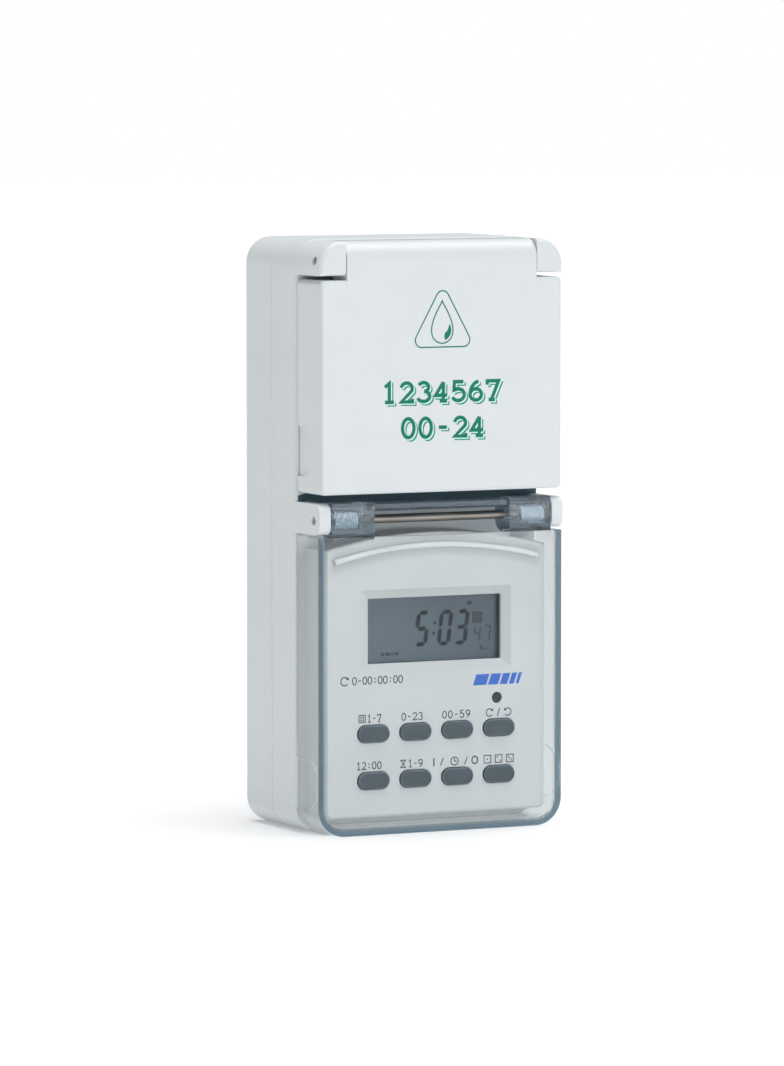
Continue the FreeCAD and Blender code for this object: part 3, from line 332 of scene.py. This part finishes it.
def lcd_face():
    """Grey reflective display with painted shade that darkens it towards its right end."""
    look = Look("lcd_face")
    low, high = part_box("lcd_glass")
    across = look.spread(look.axes(look.place)[0], 0.0, 1.0, low.x, high.x)
    cloud = look.noise(120.0)
    # painted shade of the window frame towards the right end, over random cloudiness
    darkness = look.maths("MULTIPLY_ADD", cloud, 0.25, across)
    look.feed("Base Color", look.blend(darkness, srgb(118, 131, 140), srgb(98, 109, 119)))
    look.feed("Roughness", look.spread(cloud, 0.3, 0.42))
    look.set(IOR=1.5, Specular_IOR_Level=0.15)
    return look.material


def board_green():
    """Solder mask with faint tracks under it."""
    look = Look("board_green")
    tracks = look.tree.nodes.new("ShaderNodeTexBrick")
    tracks.inputs["Scale"].default_value = 160.0
    tracks.inputs["Color1"].default_value = srgb(20, 92, 52)
    tracks.inputs["Color2"].default_value = srgb(24, 104, 58)
    tracks.inputs["Mortar"].default_value = srgb(34, 124, 74)
    look.link(look.place, tracks.inputs["Vector"])
    look.feed("Base Color", tracks.outputs["Color"])
    look.feed("Roughness", look.spread(look.noise(300.0), 0.25, 0.4))
    look.bump(tracks.outputs["Fac"], 0.2, 0.00002)
    return look.material


looks = {
    "housing": plastic("housing_plastic", srgb(226, 231, 233), 0.42, depth=0.000010),
    "cover": plastic("cover_plastic", srgb(224, 229, 231), 0.34, 1500.0, 0.000006, variation=0.01),
    "panel": panel_plastic(),
    "key": key_plastic(),
    "black": plastic("dark_plastic", srgb(26, 28, 31), 0.4, depth=0.00001, variation=0.1),
    "blue": plastic("blue_case", srgb(36, 74, 150), 0.35, variation=0.06),
    "yellow": plastic("capacitor_case", srgb(205, 176, 60), 0.4, variation=0.06),
    "sleeve": plastic("capacitor_sleeve", srgb(30, 34, 48), 0.3, variation=0.08),
    "ceramic": plastic("coated_disc", srgb(52, 92, 160), 0.5, variation=0.08),
    "brown": plastic("wire_brown", srgb(92, 56, 34), 0.45, variation=0.08),
    "wire_blue": plastic("wire_blue", srgb(48, 92, 170), 0.45, variation=0.08),
    "grey_cable": plastic("cable_grey", srgb(150, 152, 155), 0.5, variation=0.06),
    "rubber": rubber("seal_rubber", srgb(70, 72, 75)),
    # painted shade: dark colour for the sheet in the shaded gap between the covers
    "gap_shade_dark": rubber("gap_shade_dark", srgb(46, 76, 86), 0.6),
    "seal": rubber("light_seal", srgb(150, 154, 157)),
    "rod": metal("drawn_rod", srgb(150, 146, 141), 0.34, wear=0.45),
    "spring": metal("spring_wire", srgb(244, 250, 252), 0.24, streak=(1500.0, 1500.0, 1500.0), shine=0.45),
    "screw": metal("zinc_screw", srgb(190, 192, 190), 0.32),
    "nickel": metal("nickel_plate", srgb(216, 214, 206), 0.2, streak=(2500.0, 120.0, 2500.0)),
    "brass": metal("brass_contact", srgb(205, 170, 96), 0.28),
    "clear": cover_clear(),
    "window": clear("clear_window", (0.92, 0.945, 0.955, 1.0), 0.002, srgb(170, 190, 205), 40.0),
    "glass": clear("fuse_glass", (0.98, 0.98, 0.98, 1.0), 0.004, srgb(200, 210, 210), 10.0),
    "lcd": lcd_face(),
    "board": board_green(),
    "teal_ink": print_ink("teal_ink", srgb(8, 124, 102)),
    "mint_ink": print_ink("mint_ink", srgb(206, 236, 229)),
    "teal_soft": print_ink("teal_soft", srgb(40, 148, 126)),
    "black_ink": print_ink("black_ink", srgb(52, 56, 62)),
    "blue_ink": print_ink("blue_ink", srgb(62, 112, 206)),
    "segment": print_ink("lcd_segment", srgb(12, 20, 32)),
    "segment_faint": print_ink("lcd_segment_faint", srgb(50, 60, 72)),
    "segment_shadow": print_ink("lcd_segment_shadow", srgb(84, 97, 108)),
}

node_looks = {
    "rear_housing": "housing", "front_housing": "housing", "shell_gasket": "seal", "housing_screws": "screw",
    "socket_cover": "cover", "socket_cover_gasket": "rubber", "socket_hinge_pin": "rod",
    "socket_cover_spring": "spring", "timer_cover": "clear", "timer_hinge_pin": "rod",
    "timer_cover_springs": "spring", "socket_insert": "housing", "socket_contact_line": "brass",
    "socket_contact_neutral": "brass", "socket_earth_clips": "nickel", "earth_bar": "nickel",
    "plug_pin_line": "nickel", "plug_pin_neutral": "nickel", "plug_pin_carrier": "black",
    "plug_earth_strips": "nickel", "control_panel": "panel", "lcd_window": "window", "lcd_frame": "black",
    "lcd_glass": "lcd", "lcd_connector": "rubber", "keypad_membrane": "rubber", "reset_button": "black",
    "control_board": "board", "control_board_screws": "screw", "control_chip": "black",
    "backup_battery": "nickel", "quartz_crystal": "nickel", "power_board": "board",
    "power_board_screws": "screw", "relay": "blue", "film_capacitor": "yellow",
    "electrolytic_capacitor": "sleeve", "varistor": "ceramic", "fuse": "glass", "rectifier_diodes": "black",
    "wire_line_in": "brown", "wire_line_switched": "brown", "wire_neutral": "wire_blue",
    "board_link_cable": "grey_cable",
}
for key in ("week", "hour", "minute", "recall", "clock", "timer", "mode", "random"):
    node_looks["key_" + key] = "key"


def dress(mesh, look_name):
    mesh.materials.clear()
    mesh.materials.append(looks[look_name])


for name, look_name in node_looks.items():
    dress(nodes[name].data, look_name)


def new_piece(name, mesh, look_name, body):
    piece = bpy.data.objects.new(name, mesh)
    scene.collection.objects.link(piece)
    dress(mesh, look_name)
    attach(piece, body)


# ---------------------------------------------------------------- flat printed marks
class Print:
    """Thin flat shapes in one XZ plane that faces -Y, gathered into one mesh. Sizes in mm."""

    SUNK = 0.01      # how far the walls reach behind the printed face
    LAYERS = 4       # levels that the strokes take in turn
    LAYER = 0.0012   # distance between two levels

    def __init__(self, plane, lift=0.012):
        self.level = (plane - lift) * MM
        self.back = (plane + self.SUNK) * MM
        self.verts = []
        self.faces = []
        self.layer = 0

    def next_front(self):
        """Strokes that cross lie a hair apart, so that no two faces share a plane."""
        self.layer = (self.layer + 1) % self.LAYERS
        return self.level + self.layer * self.LAYER * MM

    def ribbon(self, left, right, closed):
        """A band between two edges, with its walls."""
        front = self.next_front()
        start = len(self.verts)
        for a, b in zip(left, right):
            self.verts += [(a[0] * MM, front, a[1] * MM), (b[0] * MM, front, b[1] * MM),
                           (a[0] * MM, self.back, a[1] * MM), (b[0] * MM, self.back, b[1] * MM)]
        count = len(left)
        for i in range(count if closed else count - 1):
            a = start + 4 * i
            b = start + 4 * ((i + 1) % count)
            self.faces += [(a + 1, b + 1, b, a), (a + 2, b + 2, b + 3, a + 3),
                           (a, b, b + 2, a + 2), (a + 3, b + 3, b + 1, a + 1)]
        if not closed:
            last = start + 4 * (count - 1)
            self.faces += [(start, start + 2, start + 3, start + 1), (last + 1, last + 3, last + 2, last)]

    def prism(self, outline):
        """A filled outline, given anticlockwise as seen from the front."""
        start = len(self.verts)
        count = len(outline)
        for y in (self.next_front(), self.back):
            self.verts += [(x * MM, y, z * MM) for x, z in outline]
        self.faces.append(tuple(range(start, start + count)))
        self.faces.append(tuple(range(start + 2 * count - 1, start + count - 1, -1)))
        for i in range(count):
            j = (i + 1) % count
            self.faces.append((start + i, start + count + i, start + count + j, start + j))

    def stroke(self, points, width, closed=False):
        """A band of even width along a path, with mitred corners."""
        sharpest = 0.45  # a mitre reaches no further than half the width over this
        count = len(points)
        points = [Vector(p) for p in points]
        left, right = [], []
        for i, here in enumerate(points):
            ways = []
            if i or closed:
                ways.append((here - points[i - 1]).normalized())
            if i < count - 1 or closed:
                ways.append((points[(i + 1) % count] - here).normalized())
            way = (ways[0] + ways[-1]).normalized()
            side = Vector((-way.y, way.x))
            reach = width / 2 / max(sharpest, side.dot(Vector((-ways[0].y, ways[0].x))))
            left.append(here + side * reach)
            right.append(here - side * reach)
        self.ribbon(left, right, closed)

    def square(self, x, z, size, width):
        """The outline of a square from its lower left corner."""
        self.stroke([(x, z), (x + size, z), (x + size, z + size), (x, z + size)], width, closed=True)

    def ring(self, x, z, rx, rz, width):
        self.stroke(arc(x, z, rx, rz, 0, 345, 23), width, closed=True)

    def dot(self, x, z, radius, steps=16):
        self.prism([(x + radius * math.cos(a), z + radius * math.sin(a))
                    for a in (2 * math.pi * k / steps for k in range(steps))])

    def bar(self, x0, x1, z0, z1):
        self.prism([(x0, z0), (x1, z0), (x1, z1), (x0, z1)])

    def piece(self, name, look_name, body):
        mesh = bpy.data.meshes.new(name)
        mesh.from_pydata(self.verts, [], self.faces)
        mesh.update()
        new_piece(name, mesh, look_name, body)


def arc(x, z, rx, rz, start, stop, steps=18):
    """Points along an ellipse arc; angles in degrees anticlockwise from +X."""
    return [(x + rx * math.cos(math.radians(a)), z + rz * math.sin(math.radians(a)))
            for a in (start + (stop - start) * k / steps for k in range(steps + 1))]


# Numerals as stroke paths in a unit square: (points, closed)
NUMERALS = {
    "0": [(arc(0.5, 0.5, 0.5, 0.5, 0, 345, 23), True)],
    "1": [([(0.12, 0.8), (0.5, 1.0), (0.5, 0.0)], False), ([(0.12, 0.0), (0.9, 0.0)], False)],
    "2": [(arc(0.5, 0.7, 0.48, 0.3, 170, -25) + [(0.04, 0.0), (1.0, 0.0), (1.0, 0.16)], False)],
    "3": [(arc(0.46, 0.76, 0.44, 0.24, 155, -80), False), (arc(0.46, 0.27, 0.54, 0.27, 85, -160), False)],
    "4": [([(1.0, 0.3), (0.0, 0.3), (0.68, 1.0)], False), ([(0.68, 1.0), (0.68, 0.0)], False),
          ([(0.36, 0.0), (1.0, 0.0)], False)],
    "5": [([(0.92, 1.0), (0.14, 1.0), (0.1, 0.56)] + arc(0.46, 0.31, 0.54, 0.31, 118, -155), False)],
    "6": [(arc(0.5, 0.3, 0.5, 0.3, 0, 345, 23), True), (arc(0.86, 0.3, 0.86, 0.7, 178, 98, 12), False)],
    "7": [([(0.0, 0.8), (0.0, 1.0), (1.0, 1.0), (0.36, 0.0)], False), ([(0.12, 0.0), (0.66, 0.0)], False)],
    "9": [(arc(0.5, 0.7, 0.5, 0.3, 0, 345, 23), True), (arc(0.14, 0.7, 0.86, 0.7, -2, -82, 12), False)],
    "-": [([(0.15, 0.5), (0.85, 0.5)], False)],
    "/": [([(0.1, -0.05), (0.9, 1.05)], False)],
}
COLON_LEVELS = (0.25, 0.72)


def figures(sheet, text, x, z, width, height, pitch, line, shift=(0.0, 0.0)):
    """Numerals whose first lower left corner is at x, z."""
    for i, sign in enumerate(text):
        left = x + i * pitch + line / 2 + shift[0]
        base = z + line / 2 + shift[1]
        if sign == ":":
            for level in COLON_LEVELS:
                sheet.dot(left + (width - line) / 2, base + level * (height - line), 0.75 * line)
        for points, closed in NUMERALS.get(sign, ()):
            sheet.stroke([(left + px * (width - line), base + pz * (height - line)) for px, pz in points],
                         line, closed)


# Seven bar display: bar ends in a unit cell, top to bottom
BARS = {"a": ((0, 2), (1, 2)), "b": ((1, 2), (1, 1)), "c": ((1, 1), (1, 0)), "d": ((0, 0), (1, 0)),
        "e": ((0, 0), (0, 1)), "f": ((0, 1), (0, 2)), "g": ((0, 1), (1, 1))}
LIT = {"5": "afgcd", "0": "abcdef", "3": "abgcd", "4": "fgbc", "7": "abc"}
SLANT = 7.0      # degrees that the display's figures lean to the right
BAR_GAP = 0.12   # gap at each end of a bar, as a share of its width


def display_figure(sheet, sign, x, z, width, height, bar, shift=(0.0, 0.0)):
    """One seven bar figure centred at x, z, leaning right."""
    lean = math.tan(math.radians(SLANT))
    for key in LIT[sign]:
        ends = []
        for u, v in BARS[key]:
            ends.append(Vector(((u - 0.5) * (width - bar), (v - 1) * (height - bar) / 2)))
        way = (ends[1] - ends[0]).normalized()
        side = Vector((-way.y, way.x)) * bar / 2
        a = ends[0] + way * BAR_GAP * bar
        b = ends[1] - way * BAR_GAP * bar
        shape = [a, a + way * bar / 2 - side, b - way * bar / 2 - side, b, b - way * bar / 2 + side,
                 a + way * bar / 2 + side]
        sheet.prism([(x + shift[0] + p.x + p.y * lean, z + shift[1] + p.y) for p in shape])


def circle_arrow(sheet, x, z, radius, line, clockwise):
    """A reset arrow: most of a circle with a head at its end."""
    head_turn, tail_turn = 40, 230       # degrees from the top of the circle
    head_length, head_half = 2.6, 1.7    # in line widths
    turn = -1 if clockwise else 1
    head = 90 - turn * head_turn
    sheet.stroke(arc(x, z, radius, radius, head, 90 + turn * tail_turn, 20), line)
    tip = Vector((x + radius * math.cos(math.radians(head)), z + radius * math.sin(math.radians(head))))
    along = Vector((math.cos(math.radians(head)), math.sin(math.radians(head))))
    way = Vector((along.y, -along.x)) * turn
    points = [tip + way * head_length * line, tip + along * head_half * line, tip - along * head_half * line]
    if (points[1] - points[0]).cross(points[2] - points[0]) < 0:
        points.reverse()
    sheet.prism([tuple(p) for p in points])


# ---------------------------------------------------------------- marks on the socket cover
COVER_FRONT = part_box("socket_cover")[0].y / MM


def rounded_triangle(half, low, high, radius, steps=8):
    """Outline with rounded corners, anticlockwise."""
    corners = [Vector((-half, low)), Vector((half, low)), Vector((0.0, high))]
    outline = []
    for i, corner in enumerate(corners):
        to_last = (corners[i - 1] - corner).normalized()
        to_next = (corners[(i + 1) % 3] - corner).normalized()
        opening = to_last.angle(to_next) / 2
        centre_at = corner + (to_last + to_next).normalized() * radius / math.sin(opening)
        first = corner + to_last * radius / math.tan(opening) - centre_at
        last = corner + to_next * radius / math.tan(opening) - centre_at
        start = math.atan2(first.y, first.x)
        sweep = (math.atan2(last.y, last.x) - start) % (2 * math.pi)
        outline += [(centre_at.x + radius * math.cos(start + sweep * k / steps),
                     centre_at.y + radius * math.sin(start + sweep * k / steps)) for k in range(steps + 1)]
    return outline


def drop(x, low, high, half, steps=40):
    """A water drop outline, anticlockwise from its tip, about half wide on each side of x."""
    widen, taper = 1.28, 1.25
    points = []
    for k in range(steps):
        t = k / steps
        level = (1 - math.cos(2 * math.pi * t)) / 2
        waist = math.sin(2 * math.pi * t) * math.sin(math.pi * min(t, 1 - t)) ** taper
        points.append((x - widen * half * waist, high - (high - low) * level))
    return points


def cover_marks():
    """A drop in a triangle, and two rows of figures with a pale edge and a soft shadow."""
    ink = Print(COVER_FRONT, 0.0165)
    ink.stroke(rounded_triangle(half=8.07, low=8.65, high=23.1, radius=1.6), 0.3, closed=True)
    ink.stroke(drop(x=-0.1, low=9.5, high=19.1, half=2.9), 0.3, closed=True)
    crescent_outside = arc(x=-0.1, z=12.45, rx=2.3, rz=2.4, start=-72, stop=36, steps=14)
    crescent_inside = [(1.5, 13.1), (1.35, 12.6), (1.0, 12.15), (0.65, 11.95), (0.5, 11.4), (0.45, 10.8)]
    ink.prism(crescent_outside + crescent_inside)
    halo = Print(COVER_FRONT, 0.011)
    shadow = Print(COVER_FRONT, 0.0055)
    for text, x, z in (("1234567", -15.4, -4.0), ("00-24", -10.6, -12.1)):
        for sheet, shift in ((ink, (0, 0)), (halo, (0.32, -0.28)), (shadow, (0.62, -0.56))):
            figures(sheet, text, x, z, width=3.75, height=5.1, pitch=4.4, line=0.82, shift=shift)
    ink.piece("cover_mark_ink", "teal_ink", "socket_cover_body")
    halo.piece("cover_mark_gap", "mint_ink", "socket_cover_body")
    shadow.piece("cover_mark_shadow", "teal_soft", "socket_cover_body")


# ---------------------------------------------------------------- marks on the control panel
ARCH_HEIGHT = 0.8
PANEL_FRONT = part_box("control_panel")[0].y / MM + ARCH_HEIGHT
UPPER = -76.4    # foot of the labels over the upper row of keys
LOWER = -87.15   # and over the lower row
LABEL = 1.85     # height of a label
LINE = 0.24


def grid_icon(sheet, x, z, size, line):
    sheet.square(x, z, size, line)
    for k in (1, 2):
        sheet.stroke([(x, z + size * k / 3), (x + size, z + size * k / 3)], line * 0.7)
        sheet.stroke([(x + size * k / 3, z), (x + size * k / 3, z + size)], line * 0.7)


def dial_icon(sheet, x, z, radius, line):
    sheet.ring(x, z, radius, radius, line)
    sheet.stroke([(x, z + radius * 0.7), (x, z), (x + radius * 0.55, z)], line)


def hourglass_icon(sheet, x, z, width, height, line):
    sheet.stroke([(x, z), (x + width, z)], line)
    sheet.stroke([(x, z + height), (x + width, z + height)], line)
    sheet.stroke([(x + 0.12 * width, z), (x + 0.88 * width, z + height)], line)
    sheet.stroke([(x + 0.88 * width, z), (x + 0.12 * width, z + height)], line)


def die_icon(sheet, x, pips):
    size = 1.75
    z = LOWER + 0.05
    sheet.square(x, z, size, 0.22)
    for u, v in pips:
        sheet.dot(x + u * size, z + v * size, 0.19, 10)


def label(sheet, text, x, z, width, pitch):
    figures(sheet, text, x, z, width, LABEL, pitch, LINE)


def panel_marks():
    """Labels of figures and plain signs over the keys, and a mark of slanted bars."""
    ink = Print(PANEL_FRONT)
    grid_icon(ink, -19.7, UPPER + 0.1, size=1.65, line=0.2)
    label(ink, "1-7", -17.6, UPPER, width=1.1, pitch=1.25)
    label(ink, "0-23", -8.9, UPPER, width=1.2, pitch=1.42)
    label(ink, "00-59", 1.5, UPPER, width=1.2, pitch=1.5)
    circle_arrow(ink, 13.7, UPPER + 0.9, 0.85, LINE, clockwise=False)
    label(ink, "/", 15.5, UPPER, width=1.0, pitch=1.4)
    circle_arrow(ink, 18.4, UPPER + 0.9, 0.85, LINE, clockwise=True)
    label(ink, "12:00", -20.3, LOWER, width=1.15, pitch=1.3)
    hourglass_icon(ink, -9.2, LOWER + 0.1, width=1.5, height=1.65, line=0.22)
    label(ink, "1-9", -7.2, LOWER, width=1.15, pitch=1.3)
    ink.stroke([(-0.6, LOWER), (-0.6, LOWER + LABEL)], 0.34)
    label(ink, "/", 0.9, LOWER, width=1.1, pitch=1.4)
    dial_icon(ink, 4.7, LOWER + 0.92, 0.92, LINE)
    label(ink, "/", 7.1, LOWER, width=1.1, pitch=1.4)
    ink.ring(9.9, LOWER + 0.92, 0.72, 0.86, 0.3)
    corner_pips = ((0.28, 0.72), (0.72, 0.28))
    die_icon(ink, 12.3, ((0.5, 0.5),))
    die_icon(ink, 15.2, corner_pips)
    die_icon(ink, 18.1, (corner_pips[0], (0.5, 0.5), corner_pips[1]))
    circle_arrow(ink, -23.3, -66.8, 0.95, 0.26, clockwise=False)
    figures(ink, "0-00:00:00", -21.4, -67.75, width=1.2, height=1.9, pitch=1.3, line=LINE)
    ink.piece("panel_mark_ink", "black_ink", "housing")
    flash = Print(PANEL_FRONT)
    x, low, high, lean, gap = 9.4, -69.1, -66.6, 0.9, 0.45
    for width in (3.4, 2.6, 1.9, 1.3, 0.8):
        flash.prism([(x, low), (x + width, low), (x + width + lean, high), (x + lean, high)])
        x += width + gap
    flash.piece("panel_flash", "blue_ink", "housing")


# ---------------------------------------------------------------- marks in the display
GLASS_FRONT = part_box("lcd_glass")[0].y / MM


def display_marks():
    """The time in seven bar figures with the shadow they cast, and fainter small signs."""
    lit = Print(GLASS_FRONT, 0.02)
    cast = Print(GLASS_FRONT, 0.012)
    middle = -55.75
    for sheet, shift in ((lit, (0, 0)), (cast, (-0.3, -0.12))):
        for sign, x in (("5", -2.35), ("0", 3.55), ("3", 7.75)):
            display_figure(sheet, sign, x, middle, width=3.4, height=8.15, bar=0.98, shift=shift)
    for level in (1.15, -1.15):
        lit.dot(0.75 + level * 0.12, middle + level, 0.36, 12)
    lit.piece("display_figures", "segment", "housing")
    cast.piece("display_cast", "segment_shadow", "housing")
    faint = Print(GLASS_FRONT, 0.016)
    grid_icon(faint, 10.75, -54.75, size=2.1, line=0.42)
    for sign, x in (("4", 11.75), ("7", 14.35)):
        display_figure(faint, sign, x, -57.5, width=1.75, height=3.7, bar=0.36)
    faint.bar(9.1, 10.4, -50.75, -49.9)
    x, gap = -12.9, 0.35
    for width in (0.8, 1.2, 0.5, 1.0):
        faint.bar(x, x + width, -61.6, -60.9)
        x += width + gap
    faint.bar(12.4, 13.0, -61.2, -60.2)
    faint.bar(13.3, 14.5, -61.2, -60.9)
    faint.piece("display_faint", "segment_faint", "housing")


# ---------------------------------------------------------------- dark sheet of painted shade in the gap between the covers
def gap_shade_sheet(half, low, high, back, front, soft, steps=24):
    """A thin dark sheet that paints shade, with narrowed ends and a shallow lip along its length. Sizes in
    mm.
    """
    edge_back, edge_rise, middle_back = 0.12, 0.2, 0.1
    mesh = bmesh.new()
    rows = []
    for k in range(steps + 1):
        x = -half + 2 * half * k / steps
        shrink = max(0.0, soft - (half - abs(x)))
        bottom, top = low + shrink, high - shrink
        section = [(back, bottom), (front + edge_back, bottom), (front, bottom + edge_rise),
                   (front + middle_back, (low + high) / 2), (front, top - edge_rise),
                   (front + edge_back, top), (back, top)]
        rows.append([mesh.verts.new((x * MM, y * MM, z * MM)) for y, z in section])
    for a, b in zip(rows, rows[1:]):
        for i in range(len(a)):
            j = (i + 1) % len(a)
            mesh.faces.new((a[i], a[j], b[j], b[i]))
    mesh.faces.new(rows[0][::-1])
    mesh.faces.new(rows[-1])
    bmesh.ops.recalc_face_normals(mesh, faces=mesh.faces[:])
    made = bpy.data.meshes.new("gap_shade_sheet")
    mesh.to_mesh(made)
    mesh.free()
    return made


# ---------------------------------------------------------------- camera, light, stage
AZIMUTH = math.radians(-26.71)
ELEVATION = math.radians(4.32)
DISTANCE = 1.5054
SENSOR = 36.0
# focal length in picture heights, where the picture is 1066 pixels high
FOCAL = 6654.0 / 1066.0
AIM = Vector((-12.84, -39.7, -33.19)) * MM


def add_camera():
    level = math.cos(ELEVATION)
    back = Vector((math.sin(AZIMUTH) * level, -math.cos(AZIMUTH) * level, math.sin(ELEVATION)))
    data = bpy.data.cameras.new("camera")
    data.lens = SENSOR * FOCAL
    data.sensor_width = SENSOR
    data.clip_start = 0.05
    camera = bpy.data.objects.new("camera", data)
    scene.collection.objects.link(camera)
    camera.location = AIM + back * DISTANCE
    camera.rotation_euler = back.to_track_quat("Z", "Y").to_euler()
    scene.camera = camera


def add_area(name, place, aim, size, power):
    """A rectangular lamp that the camera doesn't see."""
    data = bpy.data.lights.new(name, "AREA")
    data.shape = "RECTANGLE"
    data.size, data.size_y = size
    data.energy = power
    lamp = bpy.data.objects.new(name, data)
    scene.collection.objects.link(lamp)
    lamp.location = place
    lamp.visible_camera = False
    lamp.rotation_euler = (Vector(place) - Vector(aim)).to_track_quat("Z", "Y").to_euler()


def add_sun(name, way, strength, spread):
    """A far, wide and soft light, the same all over the floor."""
    data = bpy.data.lights.new(name, "SUN")
    data.energy = strength
    data.angle = math.radians(spread)
    lamp = bpy.data.objects.new(name, data)
    scene.collection.objects.link(lamp)
    lamp.rotation_euler = Vector(way).to_track_quat("Z", "Y").to_euler()


def add_stage():
    """A pale floor that glows slightly, as a light table does, so that shadows on it stay faint."""
    mesh = bpy.data.meshes.new("floor")
    reach = 6.0
    z = cad_box[0][2]
    corners = [(-reach, -reach, z), (reach, -reach, z), (reach, reach, z), (-reach, reach, z)]
    mesh.from_pydata(corners, [], [(0, 1, 2, 3)])
    floor = bpy.data.objects.new("floor", mesh)
    scene.collection.objects.link(floor)
    look = Look("floor_white")
    haze = look.noise(3.0, 1.0)
    look.feed("Base Color", look.blend(look.spread(haze, 0.0, 1.0), shade(WHITE, 0.88), shade(WHITE, 0.9)))
    look.feed("Roughness", look.spread(haze, 0.85, 0.95))
    look.set(Emission_Color=WHITE, Emission_Strength=0.16)
    mesh.materials.append(look.material)


def add_world():
    """White to the eye, with a dimmer even light for the object."""
    world = bpy.data.worlds.new("soft_white")
    world.use_nodes = True
    tree = world.node_tree
    sky = tree.nodes["Background"]
    sky.inputs["Color"].default_value = (0.94, 0.97, 1.0, 1)
    sky.inputs["Strength"].default_value = 0.28
    seen = tree.nodes.new("ShaderNodeBackground")
    seen.inputs["Color"].default_value = WHITE
    seen.inputs["Strength"].default_value = 1.0
    path = tree.nodes.new("ShaderNodeLightPath")
    mix = tree.nodes.new("ShaderNodeMixShader")
    tree.links.new(path.outputs["Is Camera Ray"], mix.inputs[0])
    tree.links.new(sky.outputs[0], mix.inputs[1])
    tree.links.new(seen.outputs[0], mix.inputs[2])
    tree.links.new(mix.outputs[0], tree.nodes["World Output"].inputs["Surface"])
    scene.world = world


# a dark sheet that paints the shade in the gap under the socket cover
strip = gap_shade_sheet(half=30.4, low=-28.6, high=-24.35, back=-27.2, front=-27.75, soft=0.6)
new_piece("cover_gap_shade", strip, "gap_shade_dark", "housing")
cover_marks()
panel_marks()
display_marks()
add_camera()
add_world()
add_stage()
add_area("front_light", place=(0.5, -1.1, 0.2), aim=(0, -0.02, -0.034), size=(0.5, 0.7), power=1.2)
add_area("low_fill", place=(0.35, -0.85, -0.08), aim=(0, -0.03, -0.09), size=(0.6, 0.03), power=0.6)
add_sun("top_light", way=(0.1, -0.06, 1.0), strength=2.6, spread=60.0)
scene.view_settings.view_transform = "Standard"
